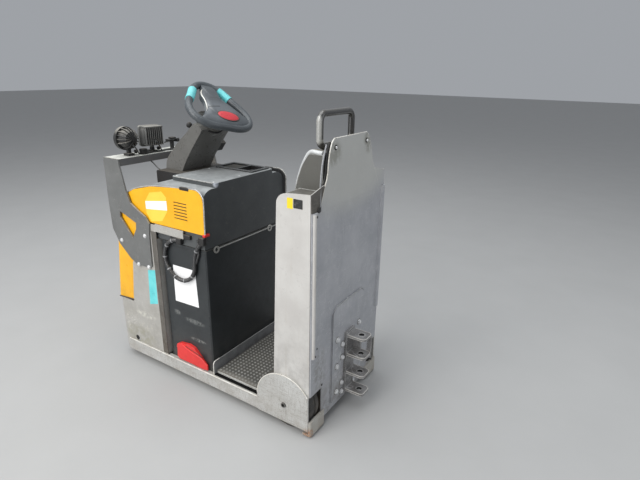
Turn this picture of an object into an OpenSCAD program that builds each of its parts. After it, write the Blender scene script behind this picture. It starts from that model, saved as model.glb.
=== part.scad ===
// Stand-on electric baggage tow tractor with three wheels. X points forward, Y left, Z up.
// Lengths in millimetres. In the modules x = 0 is the plane of the rear plate and z = 0 the ground.

/* [Body] */
// Front of the bumper, measured from the rear plate
body_front = 1235; // [1200:5:1270]
// Width over the two rear wheel side plates
body_width = 620; // [600:5:650]
// Thickness of the side plates
side_plate = 8; // [6:1:10]
// Top of the side rails above the ground
rail_top = 106; // [98:2:114]
// Underside of the chassis above the ground
floor_clearance = 42; // [34:2:50]
// Top of the steel step deck above the ground
deck_top = 118; // [116:1:126]
// Thickness of the rubber mat
mat_thick = 8; // [5:1:10]

/* [Tower] */
// Height of the rear tower flanks at the back edge
tower_height = 1073; // [1040:5:1110]
// Depth of the tower flanks at the top
tower_depth_top = 153; // [140:2:165]
// Depth of the tower flanks at the foot
tower_depth_foot = 185; // [175:2:195]
// Rise of the rear plate's head over the flanks
back_plate_rise = 179; // [160:1:200]
// Rise of the grab handle over the flanks
handle_rise = 277; // [262:1:305]
// Width between the grab handle legs
handle_width = 244; // [220:4:268]

/* [Battery and hood] */
// Length of the battery tray along the tractor
battery_length = 290; // [270:5:296]
// Height of the battery tray
battery_height = 680; // [650:5:690]
// Height of the hood top
hood_top = 1000; // [985:5:1015]

/* [Wheels] */
// Radius of the two rear wheels
rear_wheel_r = 125; // [115:1:128]
// Tread width of the rear wheels
rear_wheel_width = 76; // [66:2:80]
// Radius of the drive wheel
drive_wheel_r = 115; // [105:1:120]
// Tread width of the drive wheel
drive_wheel_width = 75; // [66:1:80]
// Position of the drive wheel ahead of the rear plate
drive_wheel_x = 1050; // [1040:5:1060]

/* [Coupling] */
// Radius of the tow pin holes
pin_hole_r = 12.5; // [11:0.5:14]
// Spacing of the tow tongues
tongue_pitch = 95; // [85:1:100]
// Reach of the tow tongues behind the rear plate
tongue_reach = 115; // [105:1:125]

/* [Steering] */
// Lean of the steering column from upright
column_lean = 38; // [36:1:39]
// Length of the column from its foot to the collar
column_length = 276; // [266:2:284]
// Turn of the steering wheel as it was left
wheel_turn = -18; // [-25:1:0]

/* [Hidden] */
mid_x = (body_front - tongue_reach) / 2;
half_w = body_width / 2;
plate_in = half_w - side_plate;
sheet = 3;
flank_in = plate_in - sheet;
axle_x = 125;
axle_z = rear_wheel_r;
arch_r = rear_wheel_r + 23;
plate_front = axle_x + arch_r - 5;
housing_in = plate_in - rear_wheel_width - 20;
wheel_y = (housing_in + flank_in) / 2 + 1;
floor_top = floor_clearance + 8;
deck_y = half_w - 28;
kick_x = 545;
battery_x = kick_x + 15;
battery_end = battery_x + battery_length;
pillar_x = 866;
battery_z = floor_top;
battery_top = battery_z + battery_height;
battery_y = plate_in - 16;
cover_y = plate_in - 10;
cable_r = 9;
cable_y = battery_y + 12;
hood_z = battery_top + 4;
hood_back = battery_x + 2;
body_sheet = 4;
column_x = 965;
column_half = 96;
wheel_reach = column_length + 115;
column_foot_z = hood_top + 18;
boss_x = column_x - wheel_reach * sin(column_lean);
boss_z = column_foot_z - 12 + wheel_reach * cos(column_lean);
tongue_top = 385;
tongue_half = 36;
tongue_thick = 11;
pin_x = -tongue_reach + tongue_half;
knuckle_z = 2 * drive_wheel_r + 30;
rim_r = 17;
rim_mean = 146;
rim_bulge = 0.13;
handle_x = 80;
handle_r = 14;
face_lean = (tower_depth_foot - tower_depth_top + 5) / (tower_height - 120);
shell_low = tower_height - 21;
shell_rise = 126;
cowl_half = flank_in - 107;
head_lean = 3;
back_plate_top = tower_height + back_plate_rise;
handle_top = tower_height + handle_rise;
skid_back = -12;
skid_top = 82;
notch_z = 207;
console_half = cover_y - 87;
console_end = 836;
console_top = hood_top + 20;
tray_y0 = -console_half + 5;
tray_y1 = tray_y0 + 140;
nose_x = 1010;
bar_z = 1050;
bar_rear = 1072;
bar_front = 1182;

// Front face of the tower panel at a height
function face_x(z) = tower_depth_foot - 19 - (z - deck_top) * face_lean;

// Moves the tractor so that the middle of its length is over the origin
module placed() {
  translate([-mid_x, 0, 0])
    children();
}

// Draws a piece on the left and its mirror image on the right
module both_sides() {
  children();
  mirror([0, 1, 0])
    children();
}

// Turns a flat outline given in x and z into a plate from y0 to y1
module upright(y0, y1) {
  translate([0, y1, 0])
    rotate([90, 0, 0])
      linear_extrude(height = y1 - y0)
        children();
}

// Turns a flat outline given in y and z into a plate from x0 to x1
module crosswise(x0, x1) {
  translate([x0, 0, 0])
    rotate([90, 0, 90])
      linear_extrude(height = x1 - x0)
        children();
}

// Rectangle with rounded corners
module soft_rect(x0, x1, y0, y1, r) {
  union() {
    translate([x0 + r, y0])
      square([x1 - x0 - 2 * r, y1 - y0]);
    translate([x0, y0 + r])
      square([x1 - x0, y1 - y0 - 2 * r]);
    for (x = [x0 + r, x1 - r])
      for (y = [y0 + r, y1 - r])
        translate([x, y])
          circle(r = r, $fn = 48);
  }
}

// Block between two opposite corners
module block(x0, x1, y0, y1, z0, z1) {
  translate([x0, y0, z0])
    cube([x1 - x0, y1 - y0, z1 - z0]);
}

// Round bar between two points with the same x
module bar_y(x, z, r, y0, y1, sides = 48) {
  translate([x, y0, z])
    rotate([-90, 0, 0])
      cylinder(r = r, h = y1 - y0, $fn = sides);
}

// Chassis

// Pan, lips, ribs and cross members between the side plates
module base_frame() {
  color([0.45, 0.45, 0.45])
    placed()
      difference() {
        union() {
          block(6, plate_front, -housing_in + sheet, housing_in - sheet, floor_clearance, floor_top);
          block(plate_front, 1175, -plate_in, plate_in, floor_clearance, floor_top);
          block(6, 30, -housing_in + sheet, housing_in - sheet, floor_top, deck_top - 10);
          both_sides() {
            block(plate_front + 6, kick_x - 2, half_w - 20, plate_in, rail_top - 6, rail_top);
            block(plate_front + 6, kick_x - 2, half_w - 20, half_w - 14, floor_top, rail_top - 6);
            block(kick_x - 2, pillar_x - 6, battery_y + 2, plate_in, floor_top, rail_top);
          }
          for (x = [70, 300, 420, 530])
            block(x, x + 8, -housing_in + sheet, housing_in - sheet, floor_top, deck_top - 10);
        }
        translate([drive_wheel_x, 0, 0])
          cylinder(r = drive_wheel_r + 33, h = 200, $fn = 96);
      }
}

// Outer plates with the round part over each rear wheel and the long rail
module side_plates() {
  color([0.78, 0.76, 0.72])
    placed()
      both_sides()
        difference() {
          upright(plate_in, half_w)
            intersection() {
              union() {
                translate([axle_x, axle_z])
                  circle(r = arch_r, $fn = 120);
                translate([0, floor_clearance - 4])
                  square([plate_front, axle_z - floor_clearance + 4]);
                translate([plate_front - 1, floor_clearance])
                  square([1176 - plate_front, rail_top - floor_clearance]);
              }
              translate([0, floor_clearance - 4])
                square([1300, 400]);
            }
          bar_y(axle_x, axle_z, 10, plate_in - 1, half_w + 1);
        }
}

// Steel feet that wrap the rear corners below the wheel openings
module rear_skids() {
  color([0.62, 0.58, 0.52])
    placed()
      both_sides()
        intersection() {
          union() {
            block(skid_back, 0, housing_in - 16, half_w - 4, 12, skid_top);
            block(skid_back, 30, housing_in - 16, half_w - 4, 12, 20);
          }
          translate([0, 0, 10])
            linear_extrude(height = 80)
              soft_rect(skid_back, 60, housing_in - 16, half_w - 4, 10);
        }
}

// Arches and inner walls round the rear wheels
module wheel_housings() {
  color([0.62, 0.61, 0.58])
    placed()
      both_sides() {
        upright(housing_in, plate_in)
          difference() {
            translate([axle_x, axle_z])
              circle(r = arch_r - 1, $fn = 120);
            translate([axle_x, axle_z])
              circle(r = arch_r - 5, $fn = 120);
            translate([-200, -200])
              square([203, 600]);
            translate([-200, -200])
              square([800, 200 + axle_z - 40]);
          }
        difference() {
          upright(housing_in - sheet, housing_in)
            intersection() {
              union() {
                translate([axle_x, axle_z])
                  circle(r = arch_r - 1, $fn = 120);
                translate([3, floor_clearance])
                  square([plate_front - 4, axle_z - floor_clearance]);
              }
              translate([3, floor_clearance - 4])
                square([900, 600]);
            }
          bar_y(axle_x, axle_z, 10, housing_in - 10, housing_in + 10);
        }
      }
}

// Fixed axle bolts of the rear wheels
module rear_axles() {
  color([0.55, 0.55, 0.55])
    placed()
      both_sides() {
        bar_y(axle_x, axle_z, 10, housing_in - sheet - 12, half_w);
        bar_y(axle_x, axle_z, 12, half_w, half_w + 6, 6);
        bar_y(axle_x, axle_z, 17, housing_in - sheet - 12, housing_in - sheet, 6);
      }
}

// Half outline of a solid tyre with soft shoulders
module tyre_half(r_in, r_out, width, shoulder) {
  union() {
    translate([r_in, -width / 2])
      square([r_out - shoulder - r_in, width]);
    translate([r_in, -width / 2 + shoulder])
      square([r_out - r_in, width - 2 * shoulder]);
    for (side = [-1, 1])
      translate([r_out - shoulder, side * (width / 2 - shoulder)])
        circle(r = shoulder, $fn = 48);
  }
}

module tyre(x, y, z, r, width, r_in) {
  translate([x, y, z])
    rotate([90, 0, 0])
      rotate_extrude($fn = 128)
        tyre_half(r_in, r, width, 9);
}

module rear_hub(y) {
  translate([axle_x, y, axle_z])
    rotate([90, 0, 0])
      rotate_extrude($fn = 128)
        union() {
          translate([10.06, -rear_wheel_width / 2 + 1])
            square([19.94, rear_wheel_width - 2]);
          translate([29, -14])
            square([rear_wheel_r - 41 - 29, 28]);
          translate([rear_wheel_r - 41, -rear_wheel_width / 2 + 4])
            square([11, rear_wheel_width - 8]);
        }
}

module rear_tyre_left() {
  color([0.12, 0.12, 0.12])
    placed()
      tyre(axle_x, wheel_y, axle_z, rear_wheel_r, rear_wheel_width, rear_wheel_r - 30);
}

module rear_tyre_right() {
  color([0.12, 0.12, 0.12])
    placed()
      tyre(axle_x, -wheel_y, axle_z, rear_wheel_r, rear_wheel_width, rear_wheel_r - 30);
}

module rear_hub_left() {
  color([0.6, 0.6, 0.6])
    placed()
      rear_hub(wheel_y);
}

module rear_hub_right() {
  color([0.6, 0.6, 0.6])
    placed()
      rear_hub(-wheel_y);
}

// Operator space

// Steel deck of the step, narrower between the wheel housings
module deck_outline(inset) {
  union() {
    translate([plate_front + 6 + inset, -deck_y + inset])
      square([kick_x - plate_front - 8 - 2 * inset, 2 * (deck_y - inset)]);
    translate([tower_depth_foot - 17 + inset, -housing_in + sheet + 2 + inset])
      square([plate_front - tower_depth_foot + 50, 2 * (housing_in - sheet - 2 - inset)]);
  }
}

module step_deck() {
  color([0.35, 0.35, 0.35])
    placed()
      translate([0, 0, deck_top - 10])
        linear_extrude(height = 10)
          deck_outline(0);
}

module rubber_mat() {
  color([0.22, 0.21, 0.2])
    placed()
      translate([0, 0, deck_top])
        linear_extrude(height = mat_thick)
          deck_outline(3);
}

// Upstand between the step and the battery
module kick_plate() {
  color([0.6, 0.6, 0.6])
    placed()
      union() {
        block(kick_x, kick_x + 4, -battery_y, battery_y, floor_top, deck_top + 20);
        intersection() {
          crosswise(kick_x, kick_x + 4)
            soft_rect(-half_w + 10, half_w - 10, 0, deck_top + 57, 16);
          block(kick_x, kick_x + 4, -half_w, half_w, rail_top + 0.3, 400);
        }
        block(kick_x, kick_x + 14, -battery_y, battery_y, deck_top + 45, deck_top + 48);
      }
}

// Tower

// Folded side sheets with a slanted front edge and a rounded front top corner
module flank_outline() {
  difference() {
    polygon([[0, axle_z + 30], [tower_depth_foot, axle_z + 30], [tower_depth_top, tower_height - 11], [0, tower_height]]);
    translate([axle_x, axle_z])
      circle(r = arch_r, $fn = 120);
    difference() {
      translate([tower_depth_top - 44, tower_height - 56])
        square([120, 120]);
      translate([tower_depth_top - 44, tower_height - 56])
        circle(r = 46, $fn = 64);
    }
  }
}

module tower_flanks() {
  color([0.8, 0.78, 0.74])
    placed()
      both_sides()
        union() {
          upright(flank_in, plate_in)
            flank_outline();
          crosswise(0, sheet)
            polygon([
              [flank_in - 104, notch_z], [plate_in, notch_z], [plate_in, tower_height - 2],
              [flank_in - 85, tower_height + 19], [flank_in - 84, tower_height + 12],
              [flank_in - 65, tower_height - 33], [flank_in - 50, tower_height - 71],
              [flank_in - 50, tower_height - 74], [flank_in - 104, tower_height - 74]
            ]);
        }
}

// Panel that closes the tower towards the operator
module tower_front() {
  color([0.3, 0.3, 0.31])
    placed()
      difference() {
        upright(-flank_in, flank_in)
          polygon([
            [face_x(deck_top - 8) - 3, deck_top - 8], [face_x(deck_top - 8), deck_top - 8],
            [face_x(shell_low), shell_low], [face_x(shell_low) - 3, shell_low]
          ]);
        both_sides()
          bar_y(axle_x, axle_z, arch_r, housing_in - sheet, half_w, 120);
        both_sides()
          block(100, 200, housing_in - sheet, half_w, 0, axle_z);
      }
}

// Outline of the rear plate below its head
module back_outline(side, low, shoulder) {
  foot = housing_in + 6;
  heel = housing_in - 17;
  polygon([
    [-heel, low], [heel, low], [heel, skid_top + 1], [foot, skid_top + 1], [foot, notch_z], [side, notch_z],
    [side, shoulder], [-side, shoulder], [-side, notch_z], [-foot, notch_z], [-foot, skid_top + 1],
    [-heel, skid_top + 1]
  ]);
}

// Outline of the narrow head, from its shoulders
module head_outline(side, shoulder) {
  polygon([
    [-side + 55, shoulder - 4], [side - 55, shoulder - 4], [side - 55, shoulder], [side - 70, shoulder + 38],
    [side - 92, shoulder + 82], [side - 108, shoulder + 105], [side - 117, shoulder + 130],
    [side - 124, shoulder + 170], [side - 132, shoulder + 196], [side - 141, shoulder + 219],
    [side - 152, shoulder + 238], [side - 168, shoulder + 250], [-side + 168, shoulder + 250],
    [-side + 152, shoulder + 238], [-side + 141, shoulder + 219], [-side + 132, shoulder + 196],
    [-side + 124, shoulder + 170], [-side + 117, shoulder + 130], [-side + 108, shoulder + 105],
    [-side + 92, shoulder + 82], [-side + 70, shoulder + 38], [-side + 55, shoulder]
  ]);
}

module back_plate() {
  color([0.6, 0.6, 0.61])
    placed()
      difference() {
        union() {
          crosswise(-5, 0)
            back_outline(plate_in - 4, floor_clearance, back_plate_top - 250);
          translate([0, 0, back_plate_top - 250])
            rotate([0, head_lean, 0])
              crosswise(-5, 0)
                head_outline(plate_in - 4, 0);
          both_sides()
            translate([0, 0, axle_z + 265])
              linear_extrude(height = back_plate_top - 250 - axle_z - 265)
                polygon([
                  [-4, plate_in - 5], [-14, plate_in - 12], [-16, plate_in - 20], [-14, plate_in - 32],
                  [-4, plate_in - 36]
                ]);
        }
        for (y = [-1, 1])
          translate([-10, y * (plate_in - 177), back_plate_top - 33])
            rotate([0, 90, 0])
              cylinder(r = 5, h = 36, $fn = 24);
      }
}

// Side outline of the moulded cowl above the pad, drawn in by a wall on the inner side
module cowl_side(wall) {
  front = face_x(shell_low) - wall;
  peak = tower_height + shell_rise + 14 - wall;
  polygon([
    [20 + wall, shell_low - wall], [front + 17, shell_low - wall], [front + 11, shell_low + 22],
    [front + 4, shell_low + 46], [front - 3, shell_low + 67], [front - 10, shell_low + 88],
    [front - 18, shell_low + 106 - wall * 0.4], [front - 26, shell_low + 122 - wall * 0.6],
    [front - 33, peak - 25], [front - 40, peak - 14], [front - 47, peak - 6], [front - 56, peak - 1],
    [front - 68, peak], [20 + wall, peak - 8]
  ]);
}

// Rear outline of the cowl with the seat of the handle
module cowl_rear(wall) {
  half = cowl_half - wall;
  peak = tower_height + shell_rise - wall;
  polygon([
    [-half, shell_low - 2 * wall], [half, shell_low - 2 * wall], [half, peak - 3], [half - 6, peak + 7],
    [half - 16, peak + 13], [half - 32, peak + 13], [half - 44, peak + 7], [half - 52, peak],
    [-half + 52, peak], [-half + 44, peak + 7], [-half + 32, peak + 13], [-half + 16, peak + 13],
    [-half + 6, peak + 7], [-half, peak - 3]
  ]);
}

// Cowl at the head of the tower, with the shelf that closes the tower
module backrest_shell() {
  color([0.13, 0.13, 0.14])
    placed()
      union() {
        difference() {
          intersection() {
            upright(-cowl_half, cowl_half)
              cowl_side(0);
            crosswise(0, 300)
              cowl_rear(0);
          }
          intersection() {
            upright(-cowl_half, cowl_half)
              cowl_side(9);
            crosswise(0, 300)
              cowl_rear(9);
          }
        }
        difference() {
          block(sheet, face_x(shell_low) - 3, -flank_in + 4, flank_in - 4, shell_low, shell_low + 6);
          block(34, face_x(shell_low) - 30, -cowl_half + 20, cowl_half - 20, shell_low - 1, shell_low + 7);
        }
      }
}

// Leaning pad in front of the tower
module backrest_pad() {
  low = tower_height - 330;
  color([0.1, 0.1, 0.11])
    placed()
      upright(-190, 190)
        polygon([
          [face_x(low), low], [face_x(low) + 16, low + 10], [face_x(low) + 22, low + 60],
          [face_x(low) + 18, low + 200], [face_x(low) + 8, low + 268], [face_x(low + 276), low + 276]
        ]);
}

// Closed loop to hold on to that lies on the shell, with rounded corners
module grab_handle() {
  bend = 30;
  leg = handle_width / 2;
  top = handle_top - handle_r;
  foot = tower_height + shell_rise + handle_r + 0.3;
  color([0.08, 0.08, 0.08])
    placed()
      translate([handle_x, 0, 0])
        union() {
          both_sides() {
            translate([0, leg, foot + bend])
              cylinder(r = handle_r, h = top - foot - 2 * bend, $fn = 40);
            for (row = [[top - bend, 90], [foot + bend, 0]])
              translate([0, leg - bend, row[0]])
                rotate([0, 90, 0])
                  rotate([0, 0, row[1]])
                    rotate_extrude(angle = 90, $fn = 64)
                      translate([bend, 0])
                        circle(r = handle_r, $fn = 40);
          }
          for (z = [foot, top])
            bar_y(0, z, handle_r, -leg + bend, leg - bend, 40);
          both_sides()
            translate([0, leg - 62, foot - handle_r - 0.3])
              cylinder(r = 10, h = handle_r, $fn = 40);
        }
}

// Coupling

// Backing plate with its bolts
module coupling_plate() {
  color([0.56, 0.56, 0.57])
    placed()
      union() {
        crosswise(-11, -5)
          polygon([[-138, 78], [138, 78], [138, 530], [112, 552], [-112, 552], [-138, 530]]);
        for (row = [[98, 385], [98, 250], [98, 118], [52, 342], [52, 275], [52, 140], [52, 92]])
          for (side = [-1, 1])
            translate([-18, side * row[0], row[1]])
              rotate([0, 90, 0])
                cylinder(r = 9.5, h = 7, $fn = 6);
      }
}

// One tongue with rounded outer corners
module tongue(z) {
  translate([0, 0, z - tongue_thick])
    linear_extrude(height = tongue_thick)
      difference() {
        union() {
          translate([-tongue_reach + 18, -tongue_half])
            square([tongue_reach - 31, 2 * tongue_half]);
          translate([-tongue_reach, -tongue_half + 18])
            square([40, 2 * tongue_half - 36]);
          for (side = [-1, 1])
            translate([-tongue_reach + 18, side * (tongue_half - 18)])
              circle(r = 18, $fn = 48);
        }
        translate([pin_x, 0])
          circle(r = pin_hole_r, $fn = 64);
      }
}

// Four tongues one above the other on an upright foot: three heights to couple at
module tow_coupling() {
  color([0.42, 0.42, 0.42])
    placed()
      union() {
        block(-25, -11, -tongue_half, tongue_half, tongue_top - 3 * tongue_pitch - 24, tongue_top + 12);
        for (level = [0:3])
          tongue(tongue_top - level * tongue_pitch);
        block(-62, -24, -tongue_half, -tongue_half + 8, tongue_top - tongue_pitch - 8, tongue_top - 4);
      }
}

// Battery

// The whole battery as one block with the rim of its tray
module battery() {
  color([0.09, 0.1, 0.11])
    placed()
      difference() {
        union() {
          translate([0, 0, battery_z])
            linear_extrude(height = battery_height)
              soft_rect(battery_x, battery_end, -battery_y, battery_y, 6);
        }
        block(battery_x + 5, battery_end - 5, -battery_y + 5, battery_y - 5, battery_top - 14, battery_top + 1);
      }
}

// Rims of the lifting holes near the top of the tray
module lifting_rings() {
  color([0.6, 0.6, 0.6])
    placed()
      for (ring_y = [-(half_w - 148), half_w - 88])
        translate([battery_x - 4, ring_y, battery_top - 9])
          rotate([0, 90, 0])
            difference() {
              cylinder(r = 17, h = 4, $fn = 48);
              translate([0, 0, -1])
                cylinder(r = 10, h = 6, $fn = 48);
            }
}

// Red lock that keeps the battery in, on the left
module battery_lock() {
  color([0.85, 0.16, 0.15])
    placed()
      upright(battery_y, battery_y + 14)
        polygon([
          [600, 118], [604, 138], [655, 190], [672, 206], [708, 214], [770, 204], [792, 192], [798, 174],
          [784, 140], [668, 107], [612, 107]
        ]);
}

// Bent cable piece in the plane y = const: centre, bend radius, start and sweep
module cable_bend(cx, cz, bend, a0, sweep, r) {
  translate([cx, 0, cz])
    rotate([90, 0, 0])
      rotate([0, 0, a0])
        rotate_extrude(angle = sweep, $fn = 64)
          translate([bend, 0])
            circle(r = r, $fn = 24);
}

// Ribbed lead that hangs in a loop between two housings under the edge of the hood
module battery_cable() {
  color([0.07, 0.07, 0.07])
    placed()
      union() {
        translate([0, cable_y, 0]) {
          cable_bend(722, 655, 98, -180, 270, cable_r);
          cable_bend(474, 655, 150, 0, 52, cable_r);
        }
        block(694, 724, battery_y + 2, cable_y + 12, 738, 768);
        block(548, 580, battery_y + 2, cable_y + 12, 762, 798);
      }
}

// Hood and front

// Cross section of the hood: straight sides and round shoulders
module hood_section(grow) {
  side = cover_y - 4 - grow;
  top = hood_top - grow;
  round_r = 62;
  union() {
    translate([-side, hood_z])
      square([2 * side, top - round_r - hood_z]);
    translate([-side + round_r, hood_z])
      square([2 * (side - round_r), top - hood_z]);
    for (y = [-side + round_r, side - round_r])
      translate([y, top - round_r])
        circle(r = round_r, $fn = 96);
  }
}

// Side view of the hood, lower towards the nose
module hood_profile(grow) {
  polygon([
    [hood_back + grow, hood_z - grow], [hood_back + grow, hood_top - grow], [console_end + 10, hood_top - grow],
    [nose_x - 105, hood_top - 18 - grow], [nose_x - 10, hood_top - 50 - grow],
    [nose_x - grow, hood_top - 56 - grow], [nose_x - grow, hood_z - grow]
  ]);
}

module hood() {
  color([0.16, 0.17, 0.18])
    placed()
      difference() {
        union() {
          intersection() {
            crosswise(hood_back, nose_x)
              hood_section(0);
            upright(-half_w, half_w)
              hood_profile(0);
          }
          translate([0, 0, hood_top - 8])
            linear_extrude(height = 28)
              soft_rect(hood_back, console_end, -console_half, console_half, 14);
        }
        intersection() {
          translate([0, 0, -1])
            crosswise(hood_back + 5, nose_x - 5)
              hood_section(5);
          upright(-half_w, half_w)
            hood_profile(5);
        }
        block(hood_back + 5, console_end - 16, -console_half + 7, console_half - 7, hood_top - 30, console_top - 6);
        block(590, console_end - 26, tray_y0 + 10, tray_y1 - 10, hood_top, console_top + 1);
      }
}

// Tray with two compartments let into the console
module storage_tray() {
  color([0.1, 0.1, 0.1])
    placed()
      difference() {
        union() {
          translate([0, 0, console_top])
            linear_extrude(height = 7)
              soft_rect(580, console_end - 16, tray_y0, tray_y1, 10);
          block(592, console_end - 28, tray_y0 + 12, tray_y1 - 12, console_top - 5, console_top + 1);
          block(592, 690, tray_y0 + 12, tray_y1 - 12, console_top - 19, console_top);
        }
        for (row = [[596, 686, console_top - 16], [694, console_end - 32, console_top - 2]])
          translate([0, 0, row[2]])
            linear_extrude(height = 40)
              soft_rect(row[0], row[1], tray_y0 + 16, tray_y1 - 16, 8);
      }
}

// Yellow covers at the sides with their vents
module side_covers() {
  color([0.98, 0.72, 0.15])
    placed()
      both_sides()
        difference() {
          upright(cover_y - 4, cover_y + 4)
            polygon([
              [553, 808], [549, 952], [554, 975], [566, 992], [584, 1001], [604, 1003], [740, 994],
              [881, 980], [1000, 950], [1068, 915], [1124, 850], [1168, 660], [1214, 342],
              [1097, 352], [1066, 568], [980, 700], [905, 806]
            ]);
          for (row = [0:5])
            translate([0, 0, 856 + row * 14.5])
              block(650, 732, cover_y - 10, cover_y + 10, 0, 5);
        }
}

// Yellow nose between the side covers
module front_cover() {
  color([0.98, 0.72, 0.15])
    placed()
      upright(-cover_y + 4, cover_y - 4)
        polygon([
          [1214, 342], [1168, 660], [1124, 850], [1068, 915], [1012, 944],
          [1010, 938], [1064, 910], [1119, 847], [1163, 659], [1209, 342]
        ]);
}

// Light grey lower body: round bumper, side panels and the pillars ahead of the battery
module front_body() {
  color([0.74, 0.72, 0.68])
    placed()
      difference() {
        union() {
          translate([0, 0, floor_top])
            linear_extrude(height = 292)
              difference() {
                union() {
                  translate([pillar_x, -plate_in])
                    square([body_front - 60 - pillar_x, 2 * plate_in]);
                  translate([body_front - 61, -plate_in + 60])
                    square([61, 2 * plate_in - 120]);
                  for (side = [-1, 1])
                    translate([body_front - 60, side * (plate_in - 60)])
                      circle(r = 60, $fn = 96);
                }
                union() {
                  translate([pillar_x - 1, -plate_in + body_sheet])
                    square([body_front - 59 - pillar_x, 2 * (plate_in - body_sheet)]);
                  translate([body_front - 61, -plate_in + 60])
                    square([61 - body_sheet, 2 * plate_in - 120]);
                  for (side = [-1, 1])
                    translate([body_front - 60, side * (plate_in - 60)])
                      circle(r = 60 - body_sheet, $fn = 96);
                }
              }
          both_sides()
            upright(plate_in - body_sheet, plate_in)
              polygon([[pillar_x, 330], [1100, 330], [1096, 352], [1064, 568], [978, 699], [905, 800], [pillar_x, 800]]);
          both_sides()
            block(pillar_x, pillar_x + 4, plate_in - 40, plate_in, rail_top, battery_top);
          both_sides()
            block(680, pillar_x + 1, plate_in - body_sheet, plate_in, 768, 806);
          intersection() {
            translate([0, 0, floor_top + 288])
              linear_extrude(height = 4)
                soft_rect(900, body_front, -plate_in, plate_in, 60);
            block(1205, 1300, -half_w, half_w, 0, 400);
          }
        }
        bar_y(1095, 118, 12, -400, 400);
      }
}

// Steel guard plates on both sides of the nose
module guard_plates() {
  color([0.3, 0.3, 0.3])
    placed()
      both_sides()
        difference() {
          upright(plate_in, plate_in + 8)
            difference() {
              polygon([
                [1182, 1084], [1072, 1084], [1068, 1050], [1042, 939], [1019, 884], [973, 857], [920, 832],
                [896, 802], [905, 746], [910, 582], [926, 573], [1023, 571], [1065, 593], [1139, 657],
                [1180, 729], [1185, 857]
              ]);
              polygon([[1105, 830], [1055, 813], [992, 790], [997, 758], [1029, 706], [1110, 800]]);
            }
        }
}

// Channel that joins the guard plates and carries the lamps
module cross_bar() {
  color([0.34, 0.34, 0.34])
    placed()
      union() {
        block(bar_rear, bar_front, -plate_in, plate_in, bar_z + 29, bar_z + 34);
        block(bar_rear, bar_rear + 5, -plate_in, plate_in, bar_z, bar_z + 30);
        block(bar_front - 5, bar_front, -plate_in, plate_in, bar_z, bar_z + 30);
      }
}

// Lamps

// Bent feet of the lamps and of the small plate beside them
module lamp_brackets() {
  color([0.25, 0.25, 0.25])
    placed()
      union() {
        for (y = [210, 72])
          block(1100, 1140, y - 16, y + 16, bar_z + 34, bar_z + 46);
        for (y = [210, 72])
          block(1112, 1128, y - 8, y + 8, bar_z + 45, bar_z + 60);
        block(1112, 1130, -64, -52, bar_z + 34, bar_z + 76);
        translate([1121, -58, bar_z + 78])
          rotate([0, 20, 0])
            cube([64, 52, 5], center = true);
      }
}

// Outline of the lamp's domed back, to be turned round its axis
module lamp_dome(grow) {
  polygon([
    [0, -40 - grow], [18, -38 - grow], [32 + grow / 2, -30 - grow], [41 + grow, -17], [45 + grow, -2],
    [45 + grow, 14], [0, 14]
  ]);
}

// Round lamp with cooling fins on its domed back and the lens to the front
module work_lamp() {
  rotate([0, 90, 0])
    union() {
      rotate_extrude($fn = 64)
        lamp_dome(0);
      intersection() {
        rotate_extrude($fn = 64)
          lamp_dome(8);
        for (turn = [0:7])
          rotate([0, 0, turn * 22.5])
            translate([-60, -2, -60])
              cube([120, 4, 80]);
      }
      translate([0, 0, 10])
        cylinder(r = 56, h = 18, $fn = 64);
      translate([20, -8, -8])
        cube([35, 16, 16]);
    }
}

module work_lamp_left() {
  color([0.16, 0.16, 0.16])
    placed()
      translate([1120, 210, bar_z + 115])
        work_lamp();
}

module work_lamp_right() {
  color([0.2, 0.2, 0.2])
    placed()
      translate([1120, 72, bar_z + 115])
        rotate([0, 0, -12])
          work_lamp();
}

// Steering

// Console at the foot of the column
module steering_plinth() {
  color([0.14, 0.14, 0.15])
    placed()
      upright(-150, 150)
        polygon([
          [console_end + 2, hood_top + 18], [console_end + 2, hood_top], [console_end + 10, hood_top],
          [nose_x - 105, hood_top - 18], [nose_x - 10, hood_top - 50], [nose_x - 4, hood_top - 53],
          [nose_x - 4, hood_top + 12], [nose_x - 10, hood_top + 18]
        ]);
}

// Moves from the column foot along the leaning column
module along_column(distance) {
  translate([column_x - distance * sin(column_lean), 0, column_foot_z - 12 + distance * cos(column_lean)])
    rotate([0, -column_lean, 0])
      children();
}

// Leaning steering column that narrows upwards, with the collar and the spindle under the wheel
module steering_column() {
  color([0.3, 0.29, 0.28])
    placed()
      difference() {
        union() {
          translate([column_x, 0, column_foot_z])
            upright(-column_half, column_half)
              polygon([
                [-82, 0], [-99, 29], [-117, 58], [-148, 99], [-175, 134], [-219, 188], [-231, 205], [-213, 222],
                [-182, 232], [-157, 212], [-135, 191], [-83, 150], [-56, 127], [-32, 103], [-5, 78], [14, 56],
                [26, 31], [33, 0]
              ]);
          along_column(column_length - 22)
            cylinder(r1 = 46, r2 = 68, h = 64, $fn = 64);
          along_column(column_length + 40)
            cylinder(r = 12, h = 64, $fn = 48);
        }
        block(600, 1300, -300, 300, hood_top - 400, hood_top + 18);
      }
}

// Small switch housing on the right of the column
module switch_block() {
  color([0.1, 0.1, 0.1])
    placed()
      along_column(column_length - 125)
        translate([-46, -column_half - 38, 0])
          cube([42, 38, 50]);
}

// Frame of the steering wheel at its boss
module at_wheel() {
  translate([boss_x, 0, boss_z])
    rotate([0, -column_lean, 0])
      rotate([0, 0, wheel_turn])
        children();
}

// Distance of the rim's middle line from the boss at an angle: a triangle with very round corners
function rim_at(a) = rim_mean * (1 + rim_bulge * cos(3 * a));

// Outward direction square to the middle line
function rim_normal(a) =
  let (
    slope = -3 * rim_mean * rim_bulge * sin(3 * a),
    tx = slope * cos(a) - rim_at(a) * sin(a),
    ty = slope * sin(a) + rim_at(a) * cos(a),
    len = sqrt(tx * tx + ty * ty)
  )
  [ty / len, -tx / len];

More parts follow.
